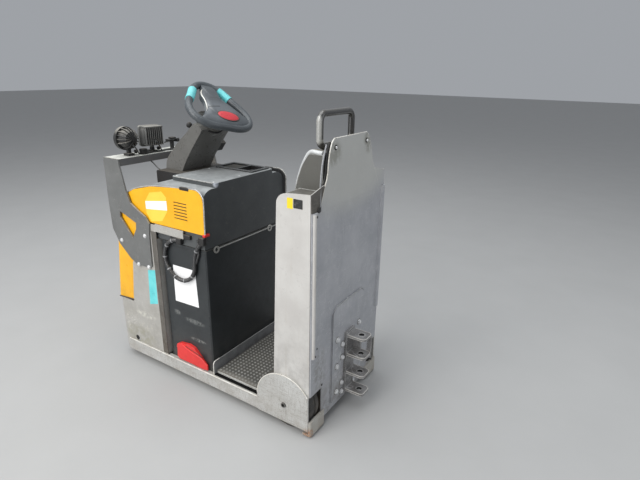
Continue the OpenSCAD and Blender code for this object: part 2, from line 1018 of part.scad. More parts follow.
// Rim of the steering wheel, with one corner to the front
module steering_rim() {
  steps = 72;
  sides = 20;
  color([0.22, 0.22, 0.23])
    placed()
      at_wheel()
        polyhedron(
          points = [
            for (i = [0:steps - 1])
              for (j = [0:sides - 1])
                let (
                  a = i * 360 / steps,
                  b = j * 360 / sides,
                  out = rim_normal(a)
                )
                [
                  rim_at(a) * cos(a) + out[0] * rim_r * cos(b),
                  rim_at(a) * sin(a) + out[1] * rim_r * cos(b),
                  rim_r * sin(b)
                ]
          ],
          faces = [
            for (i = [0:steps - 1])
              for (j = [0:sides - 1])
                [
                  i * sides + j,
                  i * sides + (j + 1) % sides,
                  ((i + 1) % steps) * sides + (j + 1) % sides,
                  ((i + 1) % steps) * sides + j
                ]
          ]
        );
}

// Broad bridge across the rim and the boss on the spindle
module steering_bridge() {
  color([0.22, 0.22, 0.23])
    placed()
      at_wheel()
        difference() {
          union() {
            translate([0, 0, -12])
              linear_extrude(height = 24)
                polygon([
                  [148, 30], [124, 36], [96, 50], [67, 60], [40, 58], [12, 59], [-24, 66], [-56, 83], [-82, 108],
                  [-96, 122], [-112, 106], [-122, 60], [-124, 0], [-120, -50], [-108, -94], [-86, -130],
                  [-62, -134], [-36, -118], [-14, -102], [11, -82], [38, -60], [71, -40], [100, -38],
                  [126, -40], [148, -30]
                ]);
            translate([0, 0, -60])
              cylinder(r = 42, h = 50, $fn = 64);
          }
          translate([0, 0, -80])
            cylinder(r = 12.06, h = 76, $fn = 48);
        }
}

module horn_button() {
  color([0.85, 0.15, 0.15])
    placed()
      at_wheel()
        translate([-70, -14, 12])
          linear_extrude(height = 5)
            soft_rect(-32, 32, -54, 54, 31.9);
}

// Drive

// Ring in the frame that the drive unit turns in
module drive_mount() {
  color([0.35, 0.35, 0.36])
    placed()
      union() {
        translate([drive_wheel_x, 0, knuckle_z + 20])
          difference() {
            cylinder(r = 118, h = 16, $fn = 96);
            translate([0, 0, -1])
              cylinder(r = 80, h = 18, $fn = 96);
          }
        both_sides()
          block(drive_wheel_x - 40, drive_wheel_x + 40, 100, plate_in - body_sheet, knuckle_z + 20, knuckle_z + 36);
      }
}

// Motor, turning ring and the leg that carries the drive wheel
module drive_unit() {
  color([0.25, 0.26, 0.28])
    placed()
      translate([drive_wheel_x, 0, 0])
        difference() {
          union() {
            translate([0, 0, knuckle_z])
              cylinder(r = 100, h = 14, $fn = 96);
            translate([0, 0, knuckle_z + 13])
              cylinder(r = 79.94, h = 30, $fn = 96);
            translate([0, 0, knuckle_z + 42])
              cylinder(r = 74, h = 270, $fn = 96);
            translate([-45, drive_wheel_width / 2 + 8, drive_wheel_r - 40])
              cube([90, 38, knuckle_z - drive_wheel_r + 41]);
            bar_y(0, drive_wheel_r, 52, drive_wheel_width / 2 + 8, drive_wheel_width / 2 + 46, 64);
          }
          bar_y(0, drive_wheel_r, 14, 0, drive_wheel_width / 2 + 30);
        }
}

// Stub axle of the drive wheel
module drive_axle() {
  color([0.6, 0.6, 0.6])
    placed()
      translate([drive_wheel_x, 0, 0])
        bar_y(0, drive_wheel_r, 14, -drive_wheel_width / 2 + 10, drive_wheel_width / 2 + 30);
}

module drive_hub() {
  color([0.5, 0.5, 0.5])
    placed()
      translate([drive_wheel_x, 0, drive_wheel_r])
        rotate([90, 0, 0])
          rotate_extrude($fn = 128)
            union() {
              translate([14.06, -drive_wheel_width / 2 + 6])
                square([22, drive_wheel_width - 12]);
              translate([35, -9])
                square([drive_wheel_r - 36 - 35, 18]);
              translate([drive_wheel_r - 37, -drive_wheel_width / 2 + 3])
                square([12, drive_wheel_width - 6]);
            }
}

module drive_tyre() {
  color([0.12, 0.12, 0.12])
    placed()
      tyre(drive_wheel_x, 0, drive_wheel_r, drive_wheel_r, drive_wheel_width, drive_wheel_r - 25);
}

base_frame();
side_plates();
rear_skids();
wheel_housings();
rear_axles();
rear_tyre_left();
rear_hub_left();
rear_tyre_right();
rear_hub_right();
step_deck();
rubber_mat();
kick_plate();
tower_flanks();
tower_front();
back_plate();
backrest_shell();
backrest_pad();
grab_handle();
coupling_plate();
tow_coupling();
battery();
lifting_rings();
battery_lock();
battery_cable();
hood();
storage_tray();
side_covers();
front_cover();
front_body();
guard_plates();
cross_bar();
lamp_brackets();
work_lamp_left();
work_lamp_right();
steering_plinth();
steering_column();
switch_block();
steering_rim();
steering_bridge();
horn_button();
drive_mount();
drive_unit();
drive_axle();
drive_hub();
drive_tyre();
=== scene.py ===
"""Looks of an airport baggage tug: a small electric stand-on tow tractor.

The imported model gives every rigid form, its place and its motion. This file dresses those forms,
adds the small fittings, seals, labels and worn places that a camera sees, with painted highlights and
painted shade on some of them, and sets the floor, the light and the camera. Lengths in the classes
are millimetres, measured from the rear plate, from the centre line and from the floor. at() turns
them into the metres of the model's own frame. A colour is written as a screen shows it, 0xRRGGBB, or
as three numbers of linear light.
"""

from __future__ import annotations

import logging
import math
from dataclasses import dataclass, replace
from enum import Enum
from typing import Callable, Iterable, Sequence, Union

import bmesh
import bpy
from mathutils import Matrix, Vector


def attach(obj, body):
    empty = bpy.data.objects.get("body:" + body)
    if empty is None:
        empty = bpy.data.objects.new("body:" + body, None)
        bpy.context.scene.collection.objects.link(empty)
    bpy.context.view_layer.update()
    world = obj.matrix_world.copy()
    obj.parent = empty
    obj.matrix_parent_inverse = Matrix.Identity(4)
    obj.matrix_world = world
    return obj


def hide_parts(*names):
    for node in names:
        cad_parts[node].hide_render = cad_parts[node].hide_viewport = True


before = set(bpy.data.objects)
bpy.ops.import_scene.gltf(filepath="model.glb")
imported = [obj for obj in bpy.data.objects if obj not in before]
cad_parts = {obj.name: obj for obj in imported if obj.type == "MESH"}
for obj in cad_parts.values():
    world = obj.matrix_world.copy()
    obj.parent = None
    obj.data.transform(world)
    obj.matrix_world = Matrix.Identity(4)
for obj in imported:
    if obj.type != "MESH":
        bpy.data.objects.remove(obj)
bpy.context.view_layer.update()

LOG = logging.getLogger("tug")
MM = 0.001
REAR_TO_MIDDLE = 560.0
SIDES = ((1, "left"), (-1, "right"))

Triple = tuple[float, float, float]
Pair = tuple[float, float]
Colour = Union[int, Triple]
Socket = bpy.types.NodeSocket
Value = Union[Socket, float, int, Sequence[float]]
Corners = list[bmesh.types.BMVert]


class Body(Enum):
    """The bodies of the model that pieces of this file move with."""

    CHASSIS = "chassis"
    REAR_LEFT = "rear_wheel_left"
    REAR_RIGHT = "rear_wheel_right"
    STEERING = "steering"
    DRIVE_WHEEL = "drive_wheel"


class Facing(Enum):
    """The direction in which an outline is given its thickness."""

    REAR = "x"
    SIDE = "y"
    TOP = "z"


def at(x: float, y: float, z: float) -> Vector:
    """Returns the point of the model's frame, in metres, for a place in millimetres."""
    return Vector(((x - REAR_TO_MIDDLE) * MM, y * MM, z * MM))


def linear(colour: Colour) -> Triple:
    """Turns a colour into the linear one that a shader takes.

    Args:
        colour: 0xRRGGBB as a screen shows it, or three numbers that are linear already.

    Returns:
        The three linear values, 0 to 1.
    """
    if not isinstance(colour, int):
        return colour
    shares = ((colour >> shift & 255) / 255 for shift in (16, 8, 0))
    return tuple(s / 12.92 if s <= 0.04045 else ((s + 0.055) / 1.055) ** 2.4 for s in shares)


def arc(a: float, b: float, radius: float, degrees: Iterable[float],
        other: float | None = None) -> list[Pair]:
    """Returns points of a circle, or of an ellipse, at the given angles.

    Args:
        a: First place of the middle.
        b: Second place of the middle.
        radius: Radius in the first direction.
        degrees: The angles.
        other: Radius in the second direction, where it differs.

    Returns:
        The points in the order of the angles.
    """
    second = radius if other is None else other
    return [(a + radius * math.cos(math.radians(d)), b + second * math.sin(math.radians(d)))
            for d in degrees]


# Meshes


def placed(name: str, data: bpy.types.ID) -> bpy.types.Object:
    """Makes an object at the origin and links it to the scene.

    Args:
        name: Name of the object.
        data: Its mesh, camera or light.

    Returns:
        The object.
    """
    piece = bpy.data.objects.new(name, data)
    bpy.context.scene.collection.objects.link(piece)
    return piece


def finish_mesh(name: str, work: bmesh.types.BMesh, crease: float = 35.0,
                turn_out: bool = True) -> bpy.types.Object:
    """Makes an object at the origin from a working mesh.

    Args:
        name: Name of the piece.
        work: The mesh being built. It is freed here.
        crease: Angle in degrees above which an edge stays sharp.
        turn_out: Whether the faces are turned outwards first.

    Returns:
        The new object, linked to the scene.
    """
    if turn_out:
        bmesh.ops.recalc_face_normals(work, faces=work.faces)
    data = bpy.data.meshes.new(name)
    work.to_mesh(data)
    work.free()
    data.shade_smooth()
    data.set_sharp_from_angle(angle=math.radians(crease))
    return placed(name, data)


def soften(piece: bpy.types.Object, width: float) -> bpy.types.Object:
    """Rounds the edges of a piece.

    Args:
        piece: The piece.
        width: Width of the rounding in millimetres.

    Returns:
        The same piece.
    """
    edge = piece.modifiers.new("edge", "BEVEL")
    edge.width = width * MM
    edge.segments = 2
    edge.limit_method = "ANGLE"
    edge.angle_limit = math.radians(32)
    edge.harden_normals = False
    return piece


def bridge(work: bmesh.types.BMesh, rings: Sequence[Corners]) -> None:
    """Joins each ring of corners with the next one by faces.

    Args:
        work: The mesh being built.
        rings: The rings, with the same number of corners each; a ring of one corner is a tip.
    """
    for one, two in zip(rings, rings[1:]):
        count = max(len(one), len(two))
        for i in range(count):
            j = (i + 1) % count
            corners = (one[i % len(one)], one[j % len(one)], two[j % len(two)], two[i % len(two)])
            work.faces.new(tuple(dict.fromkeys(corners)))


def circle(work: bmesh.types.BMesh, centre: Vector, size: float, side: Vector, other: Vector,
           steps: int) -> Corners:
    """Adds a circle of corners to a working mesh, in the plane of two directions."""
    angles = (2 * math.pi * k / steps for k in range(steps))
    return [work.verts.new(centre + size * (side * math.cos(a) + other * math.sin(a))) for a in angles]


def spread(facing: Facing, a: float, b: float, depth: float) -> Vector:
    """Returns the point at outline place a, b and the given depth.

    Args:
        facing: Direction of the outline's thickness.
        a: First place in the outline.
        b: Second place in the outline.
        depth: Place along the thickness.

    Returns:
        The point in metres.
    """
    if facing is Facing.REAR:
        return at(depth, a, b)
    return at(a, depth, b) if facing is Facing.SIDE else at(a, b, depth)


def slab(name: str, outline: Sequence[Pair], facing: Facing, low: float, high: float,
         edge: float = 0.8) -> bpy.types.Object:
    """Cuts a flat piece from an outline.

    Args:
        name: Name of the piece.
        outline: Corner points: (y, z) for REAR, (x, z) for SIDE, (x, y) for TOP.
        facing: Direction of the thickness.
        low: Where the thickness starts.
        high: Where it ends.
        edge: Width of the rounded edges, 0 for none.

    Returns:
        The piece.
    """
    work = bmesh.new()
    rings = [[work.verts.new(spread(facing, a, b, depth)) for a, b in outline] for depth in (low, high)]
    for ring in rings:
        work.faces.new(ring)
    bridge(work, rings)
    piece = finish_mesh(name, work)
    return soften(piece, edge) if edge else piece


def box(name: str, low: Triple, high: Triple, edge: float) -> bpy.types.Object:
    """Makes a block with rounded edges between two corners."""
    outline = [(low[0], low[1]), (high[0], low[1]), (high[0], high[1]), (low[0], high[1])]
    return slab(name, outline, Facing.TOP, low[2], high[2], edge)


def round_rect(a0: float, b0: float, a1: float, b1: float, radius: float) -> list[Pair]:
    """Returns the outline of a rectangle with round corners.

    Args:
        a0: First side, low.
        b0: Second side, low.
        a1: First side, high.
        b1: Second side, high.
        radius: Corner radius.

    Returns:
        The corner points in order.
    """
    steps = 5
    points = []
    for a, b, start in ((a1 - radius, b1 - radius, 0), (a0 + radius, b1 - radius, 90),
                        (a0 + radius, b0 + radius, 180), (a1 - radius, b0 + radius, 270)):
        points += arc(a, b, radius, (start + 90 * i / steps for i in range(steps + 1)))
    return points


def smooth_path(points: Sequence[Vector], steps: int, closed: bool = False) -> list[Vector]:
    """Runs a smooth curve through points.

    Args:
        points: The points to pass through.
        steps: Pieces between two points.
        closed: Whether the curve comes back to its start.

    Returns:
        The points of the curve.
    """
    count = len(points)
    result = []
    for i in range(count if closed else count - 1):
        near = range(i - 1, i + 3)
        p = [points[k % count if closed else min(max(k, 0), count - 1)] for k in near]
        for t in (j / steps for j in range(steps)):
            result.append(0.5 * (2 * p[1] + (p[2] - p[0]) * t
                                 + (2 * p[0] - 5 * p[1] + 4 * p[2] - p[3]) * t * t
                                 + (3 * p[1] - p[0] - 3 * p[2] + p[3]) * t ** 3))
    if not closed:
        result.append(points[-1].copy())
    return result


def tube(name: str, path: Sequence[Vector], radius: float, sides: int,
         shape: Callable[[float], float] | None = None) -> bpy.types.Object:
    """Sweeps a round section along a path.

    Args:
        name: Name of the piece.
        path: Points in metres.
        radius: Radius in millimetres.
        sides: Faces round the section.
        shape: Radius factor for a share of the path from 0 to 1.

    Returns:
        The piece, with its ends closed.
    """
    work = bmesh.new()
    last = len(path) - 1
    rings = []
    side = None
    for i, point in enumerate(path):
        along = (path[min(i + 1, last)] - path[max(i - 1, 0)]).normalized()
        if side is None:
            side = along.orthogonal().normalized()
        side = (side - along * side.dot(along)).normalized()
        size = radius * MM * (shape(i / last) if shape else 1.0)
        rings.append(circle(work, point, size, side, along.cross(side), sides))
    bridge(work, rings)
    work.faces.new(rings[0])
    work.faces.new(rings[-1])
    return finish_mesh(name, work, 50)


def turned(name: str, profile: Sequence[Pair], foot: Vector, axis: Triple, steps: int = 40,
           crease: float = 32.0) -> bpy.types.Object:
    """Turns a profile round an axis, as on a lathe.

    Args:
        name: Name of the piece.
        profile: (radius, height) pairs in millimetres; a radius of 0 closes an end.
        foot: Where height 0 is, in metres.
        axis: Direction of growing height.
        steps: Faces round the axis.
        crease: Angle above which an edge stays sharp.

    Returns:
        The piece.
    """
    up = Vector(axis).normalized()
    side = up.orthogonal().normalized()
    other = up.cross(side)
    work = bmesh.new()
    rings = []
    for radius, height in profile:
        centre = foot + up * height * MM
        rings.append(circle(work, centre, radius * MM, side, other, steps) if radius
                     else [work.verts.new(centre)])
    if len(rings[0]) > 1 and len(rings[-1]) > 1:
        rings.append(rings[0])
    bridge(work, rings)
    return finish_mesh(name, work, crease)


def joined(name: str, parts: Sequence[bpy.types.Object]) -> bpy.types.Object:
    """Joins finished parts into one mesh, with their rounding applied.

    Args:
        name: Name of the joined piece.
        parts: The parts. They are removed.

    Returns:
        The joined piece.
    """
    graph = bpy.context.evaluated_depsgraph_get()
    graph.update()
    work = bmesh.new()
    for part in parts:
        data = bpy.data.meshes.new_from_object(part.evaluated_get(graph))
        work.from_mesh(data)
        bpy.data.meshes.remove(data)
    for part in parts:
        data = part.data
        bpy.data.objects.remove(part)
        bpy.data.meshes.remove(data)
    return finish_mesh(name, work, turn_out=False)


def mount(piece: bpy.types.Object, finish: Finish, slot: str,
          body: Body = Body.CHASSIS) -> bpy.types.Object:
    """Gives a piece its finish and fixes it to a body.

    Args:
        piece: The piece.
        finish: Its finish.
        slot: Material slot of the record; not used.
        body: The body it moves with.

    Returns:
        The same piece.
    """
    piece.data.materials.clear()
    piece.data.materials.append(finish.material())
    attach(piece, body.value)
    LOG.info("%s: %d faces, on %s", piece.name, len(piece.data.polygons), body.value)
    return piece


def trim(name: str, path: Sequence[Vector], radius: float, sides: int, finish: Finish, slot: str,
         smooth: int = 0, body: Body = Body.CHASSIS,
         shape: Callable[[float], float] | None = None) -> None:
    """Sweeps a round section along a path and fixes it to a body.

    Args:
        name: Name of the piece.
        path: Points in metres.
        radius: Radius in millimetres.
        sides: Faces round the section.
        finish: Its finish.
        slot: Material slot of the record.
        smooth: Pieces between two points of a smoothed path, 0 for a straight one.
        body: The body it moves with.
        shape: Radius factor for a share of the path from 0 to 1.
    """
    line = smooth_path(path, smooth) if smooth else path
    mount(tube(name, line, radius, sides, shape), finish, slot, body)


def dress(finish: Finish, *nodes: str) -> None:
    """Gives CAD nodes a finish.

    Args:
        finish: The finish.
        *nodes: Names of the nodes.
    """
    material = finish.material()
    for name in nodes:
        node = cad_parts[name]
        if not node.material_slots:
            node.data.materials.append(material)
        for held in node.material_slots:
            held.material = material


# Surfaces


class Net:
    """Places and links the nodes of one tree."""

    def __init__(self, tree: bpy.types.NodeTree) -> None:
        """Keeps the tree that is worked on."""
        self.tree = tree

    def feed(self, socket: Socket, value: Value) -> None:
        """Links a socket to another one, or sets its value.

        Args:
            socket: An input of a node.
            value: The value, or the output to link to it.
        """
        if isinstance(value, bpy.types.NodeSocket):
            self.tree.links.new(value, socket)
        elif socket.type == "RGBA":
            socket.default_value = (*linear(value), 1.0)
        else:
            socket.default_value = value

    def add(self, kind: str, inputs: dict[Union[str, int], Value] | None = None,
            **settings: object) -> bpy.types.Node:
        """Places a node.

        Args:
            kind: Type name of the node.
            inputs: Values or sockets for its inputs, by name or place.
            **settings: Properties of the node.

        Returns:
            The node.
        """
        node = self.tree.nodes.new(kind)
        for key, value in settings.items():
            setattr(node, key, value)
        for key, value in (inputs or {}).items():
            self.feed(node.inputs[key], value)
        return node

    def math(self, operation: str, a: Value, b: Value = 0.0, clamp: bool = False) -> Socket:
        """Returns the result of a calculation with two numbers."""
        return self.add("ShaderNodeMath", {0: a, 1: b}, operation=operation, use_clamp=clamp).outputs[0]

    def ramp(self, value: Value, low: Value, high: Value, start: Value = 0.0,
             end: Value = 1.0) -> Socket:
        """Maps low..high smoothly to start..end and holds it beyond them."""
        return self.add("ShaderNodeMapRange", {0: value, 1: low, 2: high, 3: start, 4: end},
                        interpolation_type="SMOOTHSTEP").outputs[0]

    def patches(self, value: Value, low: float, high: float, amount: Value) -> Socket:
        """Cuts patches out of a pattern; they grow with the amount."""
        return self.ramp(value, self.math("SUBTRACT", low, amount), self.math("SUBTRACT", high, amount))

    def blend(self, share: Value, a: Value, b: Value) -> Socket:
        """Returns colour a turning into colour b as share goes from 0 to 1."""
        return self.add("ShaderNodeMix", {0: share, 6: a, 7: b}, data_type="RGBA").outputs[2]

    def vector(self, operation: str, a: Value, b: Value = (0.0, 0.0, 0.0)) -> bpy.types.Node:
        """Places a vector calculation and returns its node."""
        return self.add("ShaderNodeVectorMath", {0: a, 1: b}, operation=operation)

    def stretch(self, vector: Value, scale: Triple, turn: Triple = (0.0, 0.0, 0.0)) -> Socket:
        """Returns a place turned and stretched, for patterns that run one way."""
        return self.add("ShaderNodeMapping", {0: vector, 2: turn, 3: scale}, vector_type="POINT").outputs[0]

    def noise(self, vector: Value, scale: Value, detail: float, roughness: float) -> Socket:
        """Returns a cloudy pattern from 0 to 1."""
        return self.add("ShaderNodeTexNoise", {"Vector": vector, "Scale": scale, "Detail": detail,
                                               "Roughness": roughness}).outputs[0]


class Effect:
    """A shader group that several finishes share. It puts out one mask."""

    made: dict[str, bpy.types.NodeTree] = {}

    def __init__(self, name: str, inputs: dict[str, Union[float, Triple]],
                 draw: Callable[[Net, dict[str, Socket]], Socket]) -> None:
        """Describes the group.

        Args:
            name: Name of the group.
            inputs: Its inputs beside the place, and their usual values; three numbers make a vector.
            draw: Builds the inside and returns the mask.
        """
        self.name, self.draw = name, draw
        self.inputs = {"Vector": (0.0, 0.0, 0.0), **inputs}

    def tree(self) -> bpy.types.NodeTree:
        """Returns the group's tree, built at its first use.

        Returns:
            The tree.
        """
        if self.name in Effect.made:
            return Effect.made[self.name]
        tree = bpy.data.node_groups.new(self.name, "ShaderNodeTree")
        for key, value in self.inputs.items():
            kind = "NodeSocketVector" if isinstance(value, tuple) else "NodeSocketFloat"
            tree.interface.new_socket(name=key, in_out="INPUT", socket_type=kind).default_value = value
        tree.interface.new_socket(name="Mask", in_out="OUTPUT", socket_type="NodeSocketFloat")
        net = Net(tree)
        source = net.add("NodeGroupInput")
        mask = self.draw(net, {key: source.outputs[key] for key in self.inputs})
        net.add("NodeGroupOutput", {"Mask": mask})
        Effect.made[self.name] = tree
        return tree

    def use(self, net: Net, **values: Value) -> Socket:
        """Places the group in a tree and returns its mask."""
        return net.add("ShaderNodeGroup", values, node_tree=self.tree()).outputs[0]


def draw_edge_worn_and_highlight(net: Net, take: dict[str, Socket]) -> Socket:
    """Finds the edges that carry worn paint and, on some finishes, a painted highlight: places where the
    rounded normal leaves the flat one, broken up by noise.

    Args:
        net: The group's tree.
        take: Its inputs by name.

    Returns:
        The mask.
    """
    rounded = net.add("ShaderNodeBevel", {"Radius": take["Width"]}, samples=4).outputs[0]
    flat = net.add("ShaderNodeNewGeometry").outputs["Normal"]
    turn = net.math("SUBTRACT", 1.0, net.vector("DOT_PRODUCT", rounded, flat).outputs["Value"])
    patchy = net.patches(net.noise(take["Vector"], take["Scale"], 4.0, 0.65), 0.95, 1.1, take["Amount"])
    return net.math("MULTIPLY", net.ramp(turn, 0.01, 0.14), patchy)


def draw_splash(net: Net, take: dict[str, Socket]) -> Socket:
    """Road dirt that grows thicker towards the floor.

    Args:
        net: The group's tree.
        take: Its inputs by name.

    Returns:
        The mask.
    """
    height = net.add("ShaderNodeSeparateXYZ", {0: take["Vector"]}).outputs[2]
    low = net.ramp(height, take["Top"], 0.0)
    cloud = net.ramp(net.noise(take["Vector"], 17.0, 7.0, 0.72), 0.38, 0.66, 0.1, 1.7)
    return net.math("MULTIPLY", net.math("MULTIPLY", low, cloud), take["Amount"], True)


def draw_dust(net: Net, take: dict[str, Socket]) -> Socket:
    """Fine dust that lies on faces turned upwards.

    Args:
        net: The group's tree.
        take: Its inputs by name.

    Returns:
        The mask.
    """
    normal = net.add("ShaderNodeNewGeometry").outputs["Normal"]
    up = net.ramp(net.add("ShaderNodeSeparateXYZ", {0: normal}).outputs[2], 0.35, 0.95)
    cloud = net.ramp(net.noise(take["Vector"], 22.0, 6.0, 0.72), 0.28, 0.74, 0.55)
    return net.math("MULTIPLY", net.math("MULTIPLY", up, cloud), take["Amount"], True)


def draw_scratches(net: Net, take: dict[str, Socket]) -> Socket:
    """Thin scratches, level and upright ones, in loose bunches.

    Args:
        net: The group's tree.
        take: Its inputs by name.

    Returns:
        The mask.
    """
    masks = []
    for turn, scale in (((0.16, 0.12, 0.0), (8.0, 8.0, 260.0)), ((0.1, 0.14, 0.0), (240.0, 240.0, 7.0))):
        wave = net.noise(net.stretch(take["Vector"], scale, turn), 1.0, 2.0, 0.5)
        line = net.math("ABSOLUTE", net.math("SUBTRACT", wave, 0.5))
        masks.append(net.ramp(line, 0.012, 0.002))
    bunch = net.patches(net.noise(take["Vector"], 19.0, 4.0, 0.7), 0.9, 1.02, take["Amount"])
    return net.math("MULTIPLY", net.math("MAXIMUM", *masks), bunch)


def draw_streaks(net: Net, take: dict[str, Socket]) -> Socket:
    """Rain and grease marks that run straight down."""
    run = net.noise(net.stretch(take["Vector"], (1.0, 1.0, 0.045)), 60.0, 5.0, 0.7)
    return net.patches(run, 0.9, 1.15, take["Amount"])


def draw_chips(net: Net, take: dict[str, Socket]) -> Socket:
    """Small chips and specks, thicker in some places.

    Args:
        net: The group's tree.
        take: Its inputs by name.

    Returns:
        The mask.
    """
    spot = net.noise(take["Vector"], take["Scale"], 4.0, 0.6)
    thick = net.ramp(net.noise(take["Vector"], 6.0, 2.0, 0.5), 0.35, 0.75, 0.0, 0.08)
    level = net.math("SUBTRACT", net.math("SUBTRACT", 0.98, take["Amount"]), thick)
    return net.ramp(spot, level, net.math("ADD", level, 0.03))


def draw_patch(net: Net, take: dict[str, Socket]) -> Socket:
    """A ragged patch round one place: a stain, rubbed paint, rust, or on some finishes a painted highlight.

    Args:
        net: The group's tree.
        take: Its inputs by name.

    Returns:
        The mask.
    """
    away = net.vector("SUBTRACT", take["Vector"], take["Centre"]).outputs[0]
    far = net.vector("LENGTH", net.vector("DIVIDE", away, take["Reach"]).outputs[0]).outputs["Value"]
    cloud = net.patches(net.noise(take["Vector"], take["Scale"], 6.0, 0.7), 0.88, 1.06, take["Cover"])
    return net.math("MULTIPLY", net.ramp(far, 1.0, 0.45), cloud)


EDGE_WORN_AND_HIGHLIGHT = Effect("edge_worn_and_highlight", {"Width": 0.003, "Scale": 45.0, "Amount": 0.5}, draw_edge_worn_and_highlight)
SPLASH = Effect("road_dirt", {"Top": 0.4, "Amount": 0.6}, draw_splash)
DUST = Effect("dust_on_top", {"Amount": 0.5}, draw_dust)
SCRATCHES = Effect("scratches", {"Amount": 0.4}, draw_scratches)
STREAKS = Effect("run_marks", {"Amount": 0.4}, draw_streaks)
CHIPS = Effect("chips", {"Scale": 160.0, "Amount": 0.2}, draw_chips)
PATCH = Effect("patch", {"Centre": (0.0, 0.0, 0.0), "Reach": (0.1, 0.1, 0.1), "Scale": 60.0,
                         "Cover": 0.5}, draw_patch)


@dataclass(frozen=True)
class Mark:
    """A local mark on a finish: a stain, rubbed paint, rust, a scuff, or on some finishes a painted
    highlight.
    """

    place: Triple
    reach: Triple
    colour: Colour
    cover: float = 0.5
    scale: float = 60.0
    rough: float = 0.7
    strength: float = 1.0

    def mask(self, net: Net, vector: Socket) -> Socket:
        """Returns the mark's mask in a material.

        Args:
            net: The material's tree.
            vector: The place on the object.

        Returns:
            The mask, 0 to 1.
        """
        mask = PATCH.use(net, Vector=vector, Centre=tuple(at(*self.place)),
                         Reach=tuple(r * MM for r in self.reach), Scale=self.scale, Cover=self.cover)
        return net.math("MULTIPLY", mask, self.strength)


@dataclass(frozen=True)
class Finish:
    """A painted, moulded or metal surface with its variation, worn edges and dirt; on some finishes the pale
    edges and some marks are painted highlights.
    """

    name: str
    colour: Colour
    shade: Colour
    rough: float = 0.5
    metal: float = 0.0
    specular: float = 0.5
    coat: float = 0.0
    edge: float = 2.0
    cloud: float = 7.0
    worn_and_highlight: float = 0.0
    worn_and_highlight_width: float = 2.5
    worn_and_highlight_colour: Colour = (0.35, 0.34, 0.33)
    worn_and_highlight_metal: float = 0.5
    scratch: float = 0.0
    scratch_colour: Colour = (0.5, 0.5, 0.49)
    streak: float = 0.0
    streak_colour: Colour = (0.5, 0.5, 0.49)
    chip: float = 0.0
    chip_scale: float = 160.0
    chip_colour: Colour = (0.12, 0.1, 0.09)
    dirt: float = 0.0
    dirt_top: float = 400.0
    dirt_colour: Colour = (0.13, 0.11, 0.09)
    dust: float = 0.0
    dust_colour: Colour = (0.42, 0.39, 0.34)
    grain: float = 900.0
    grain_depth: float = 0.05
    marks: tuple[Mark, ...] = ()

    def material(self) -> bpy.types.Material:
        """Builds the finish, once.

        Returns:
            The material.
        """
        title = f"{self.name}_finish"
        if title in bpy.data.materials:
            return bpy.data.materials[title]
        made = bpy.data.materials.new(title)
        made.use_nodes = True
        made.node_tree.nodes.clear()
        net = Net(made.node_tree)
        where = net.add("ShaderNodeTexCoord").outputs["Object"]
        cloud = net.ramp(net.noise(where, self.cloud, 5.0, 0.62), 0.28, 0.72)
        colour = net.blend(cloud, self.colour, self.shade)
        rough = net.ramp(net.noise(where, self.cloud * 5, 6.0, 0.7), 0.2, 0.8,
                         max(self.rough - 0.12, 0.03), min(self.rough + 0.12, 1.0))
        metal: Value = self.metal
        height = net.math("MULTIPLY", net.noise(where, self.grain, 3.0, 0.6), self.grain_depth)
        for amount, effect, extra, paint, depth, gloss in (
                (self.streak, STREAKS, {}, self.streak_colour, 0.0, 0.1),
                (self.chip, CHIPS, {"Scale": self.chip_scale}, self.chip_colour, -0.12, 0.1),
                (self.scratch, SCRATCHES, {}, self.scratch_colour, -0.1, 0.0)):
            if amount:
                mask = effect.use(net, Vector=where, Amount=amount, **extra)
                colour = net.blend(net.math("MULTIPLY", mask, 0.75), colour, paint)
                rough = net.math("ADD", rough, net.math("MULTIPLY", mask, gloss))
                if depth:
                    height = net.math("ADD", height, net.math("MULTIPLY", mask, depth))
        # Marks: stains, rubbed paint and rust, and on some finishes painted highlights.
        for mark in self.marks:
            mask = mark.mask(net, where)
            colour = net.blend(mask, colour, mark.colour)
            rough = net.ramp(mask, 0.0, 1.0, rough, mark.rough)
        # Pale edges: worn paint on most finishes, a painted highlight on the cowl, the tray and the red
        # plastic.
        if self.worn_and_highlight:
            mask = EDGE_WORN_AND_HIGHLIGHT.use(net, Vector=where, Width=self.worn_and_highlight_width * MM, Amount=self.worn_and_highlight)
            colour = net.blend(mask, colour, self.worn_and_highlight_colour)
            metal = net.ramp(mask, 0.0, 1.0, self.metal, self.worn_and_highlight_metal)
        for amount, effect, extra, paint, dull in (
                (self.dirt, SPLASH, {"Top": self.dirt_top * MM}, self.dirt_colour, 0.85),
                (self.dust, DUST, {}, self.dust_colour, 0.9)):
            if amount:
                mask = effect.use(net, Vector=where, Amount=amount, **extra)
                colour = net.blend(mask, colour, paint)
                rough = net.ramp(mask, 0.0, 1.0, rough, dull)
        smooth = net.add("ShaderNodeBevel", {"Radius": self.edge * MM}, samples=4).outputs[0]
        bump = net.add("ShaderNodeBump", {"Strength": 0.6, "Distance": 0.004, "Height": height,
                                          "Normal": smooth})
        shell = net.add("ShaderNodeBsdfPrincipled", {
            "Base Color": colour, "Roughness": rough, "Metallic": metal,
            "Specular IOR Level": self.specular, "Coat Weight": self.coat, "Coat Roughness": 0.25,
            "Normal": bump.outputs[0]})
        net.add("ShaderNodeOutputMaterial", {"Surface": shell.outputs[0]})
        return made


# Colours and finishes of the tug


RUST = Mark((-8, 304, 24), (48, 24, 40), 0xAC7A58, 0.5, 90.0, 0.9, 0.8)

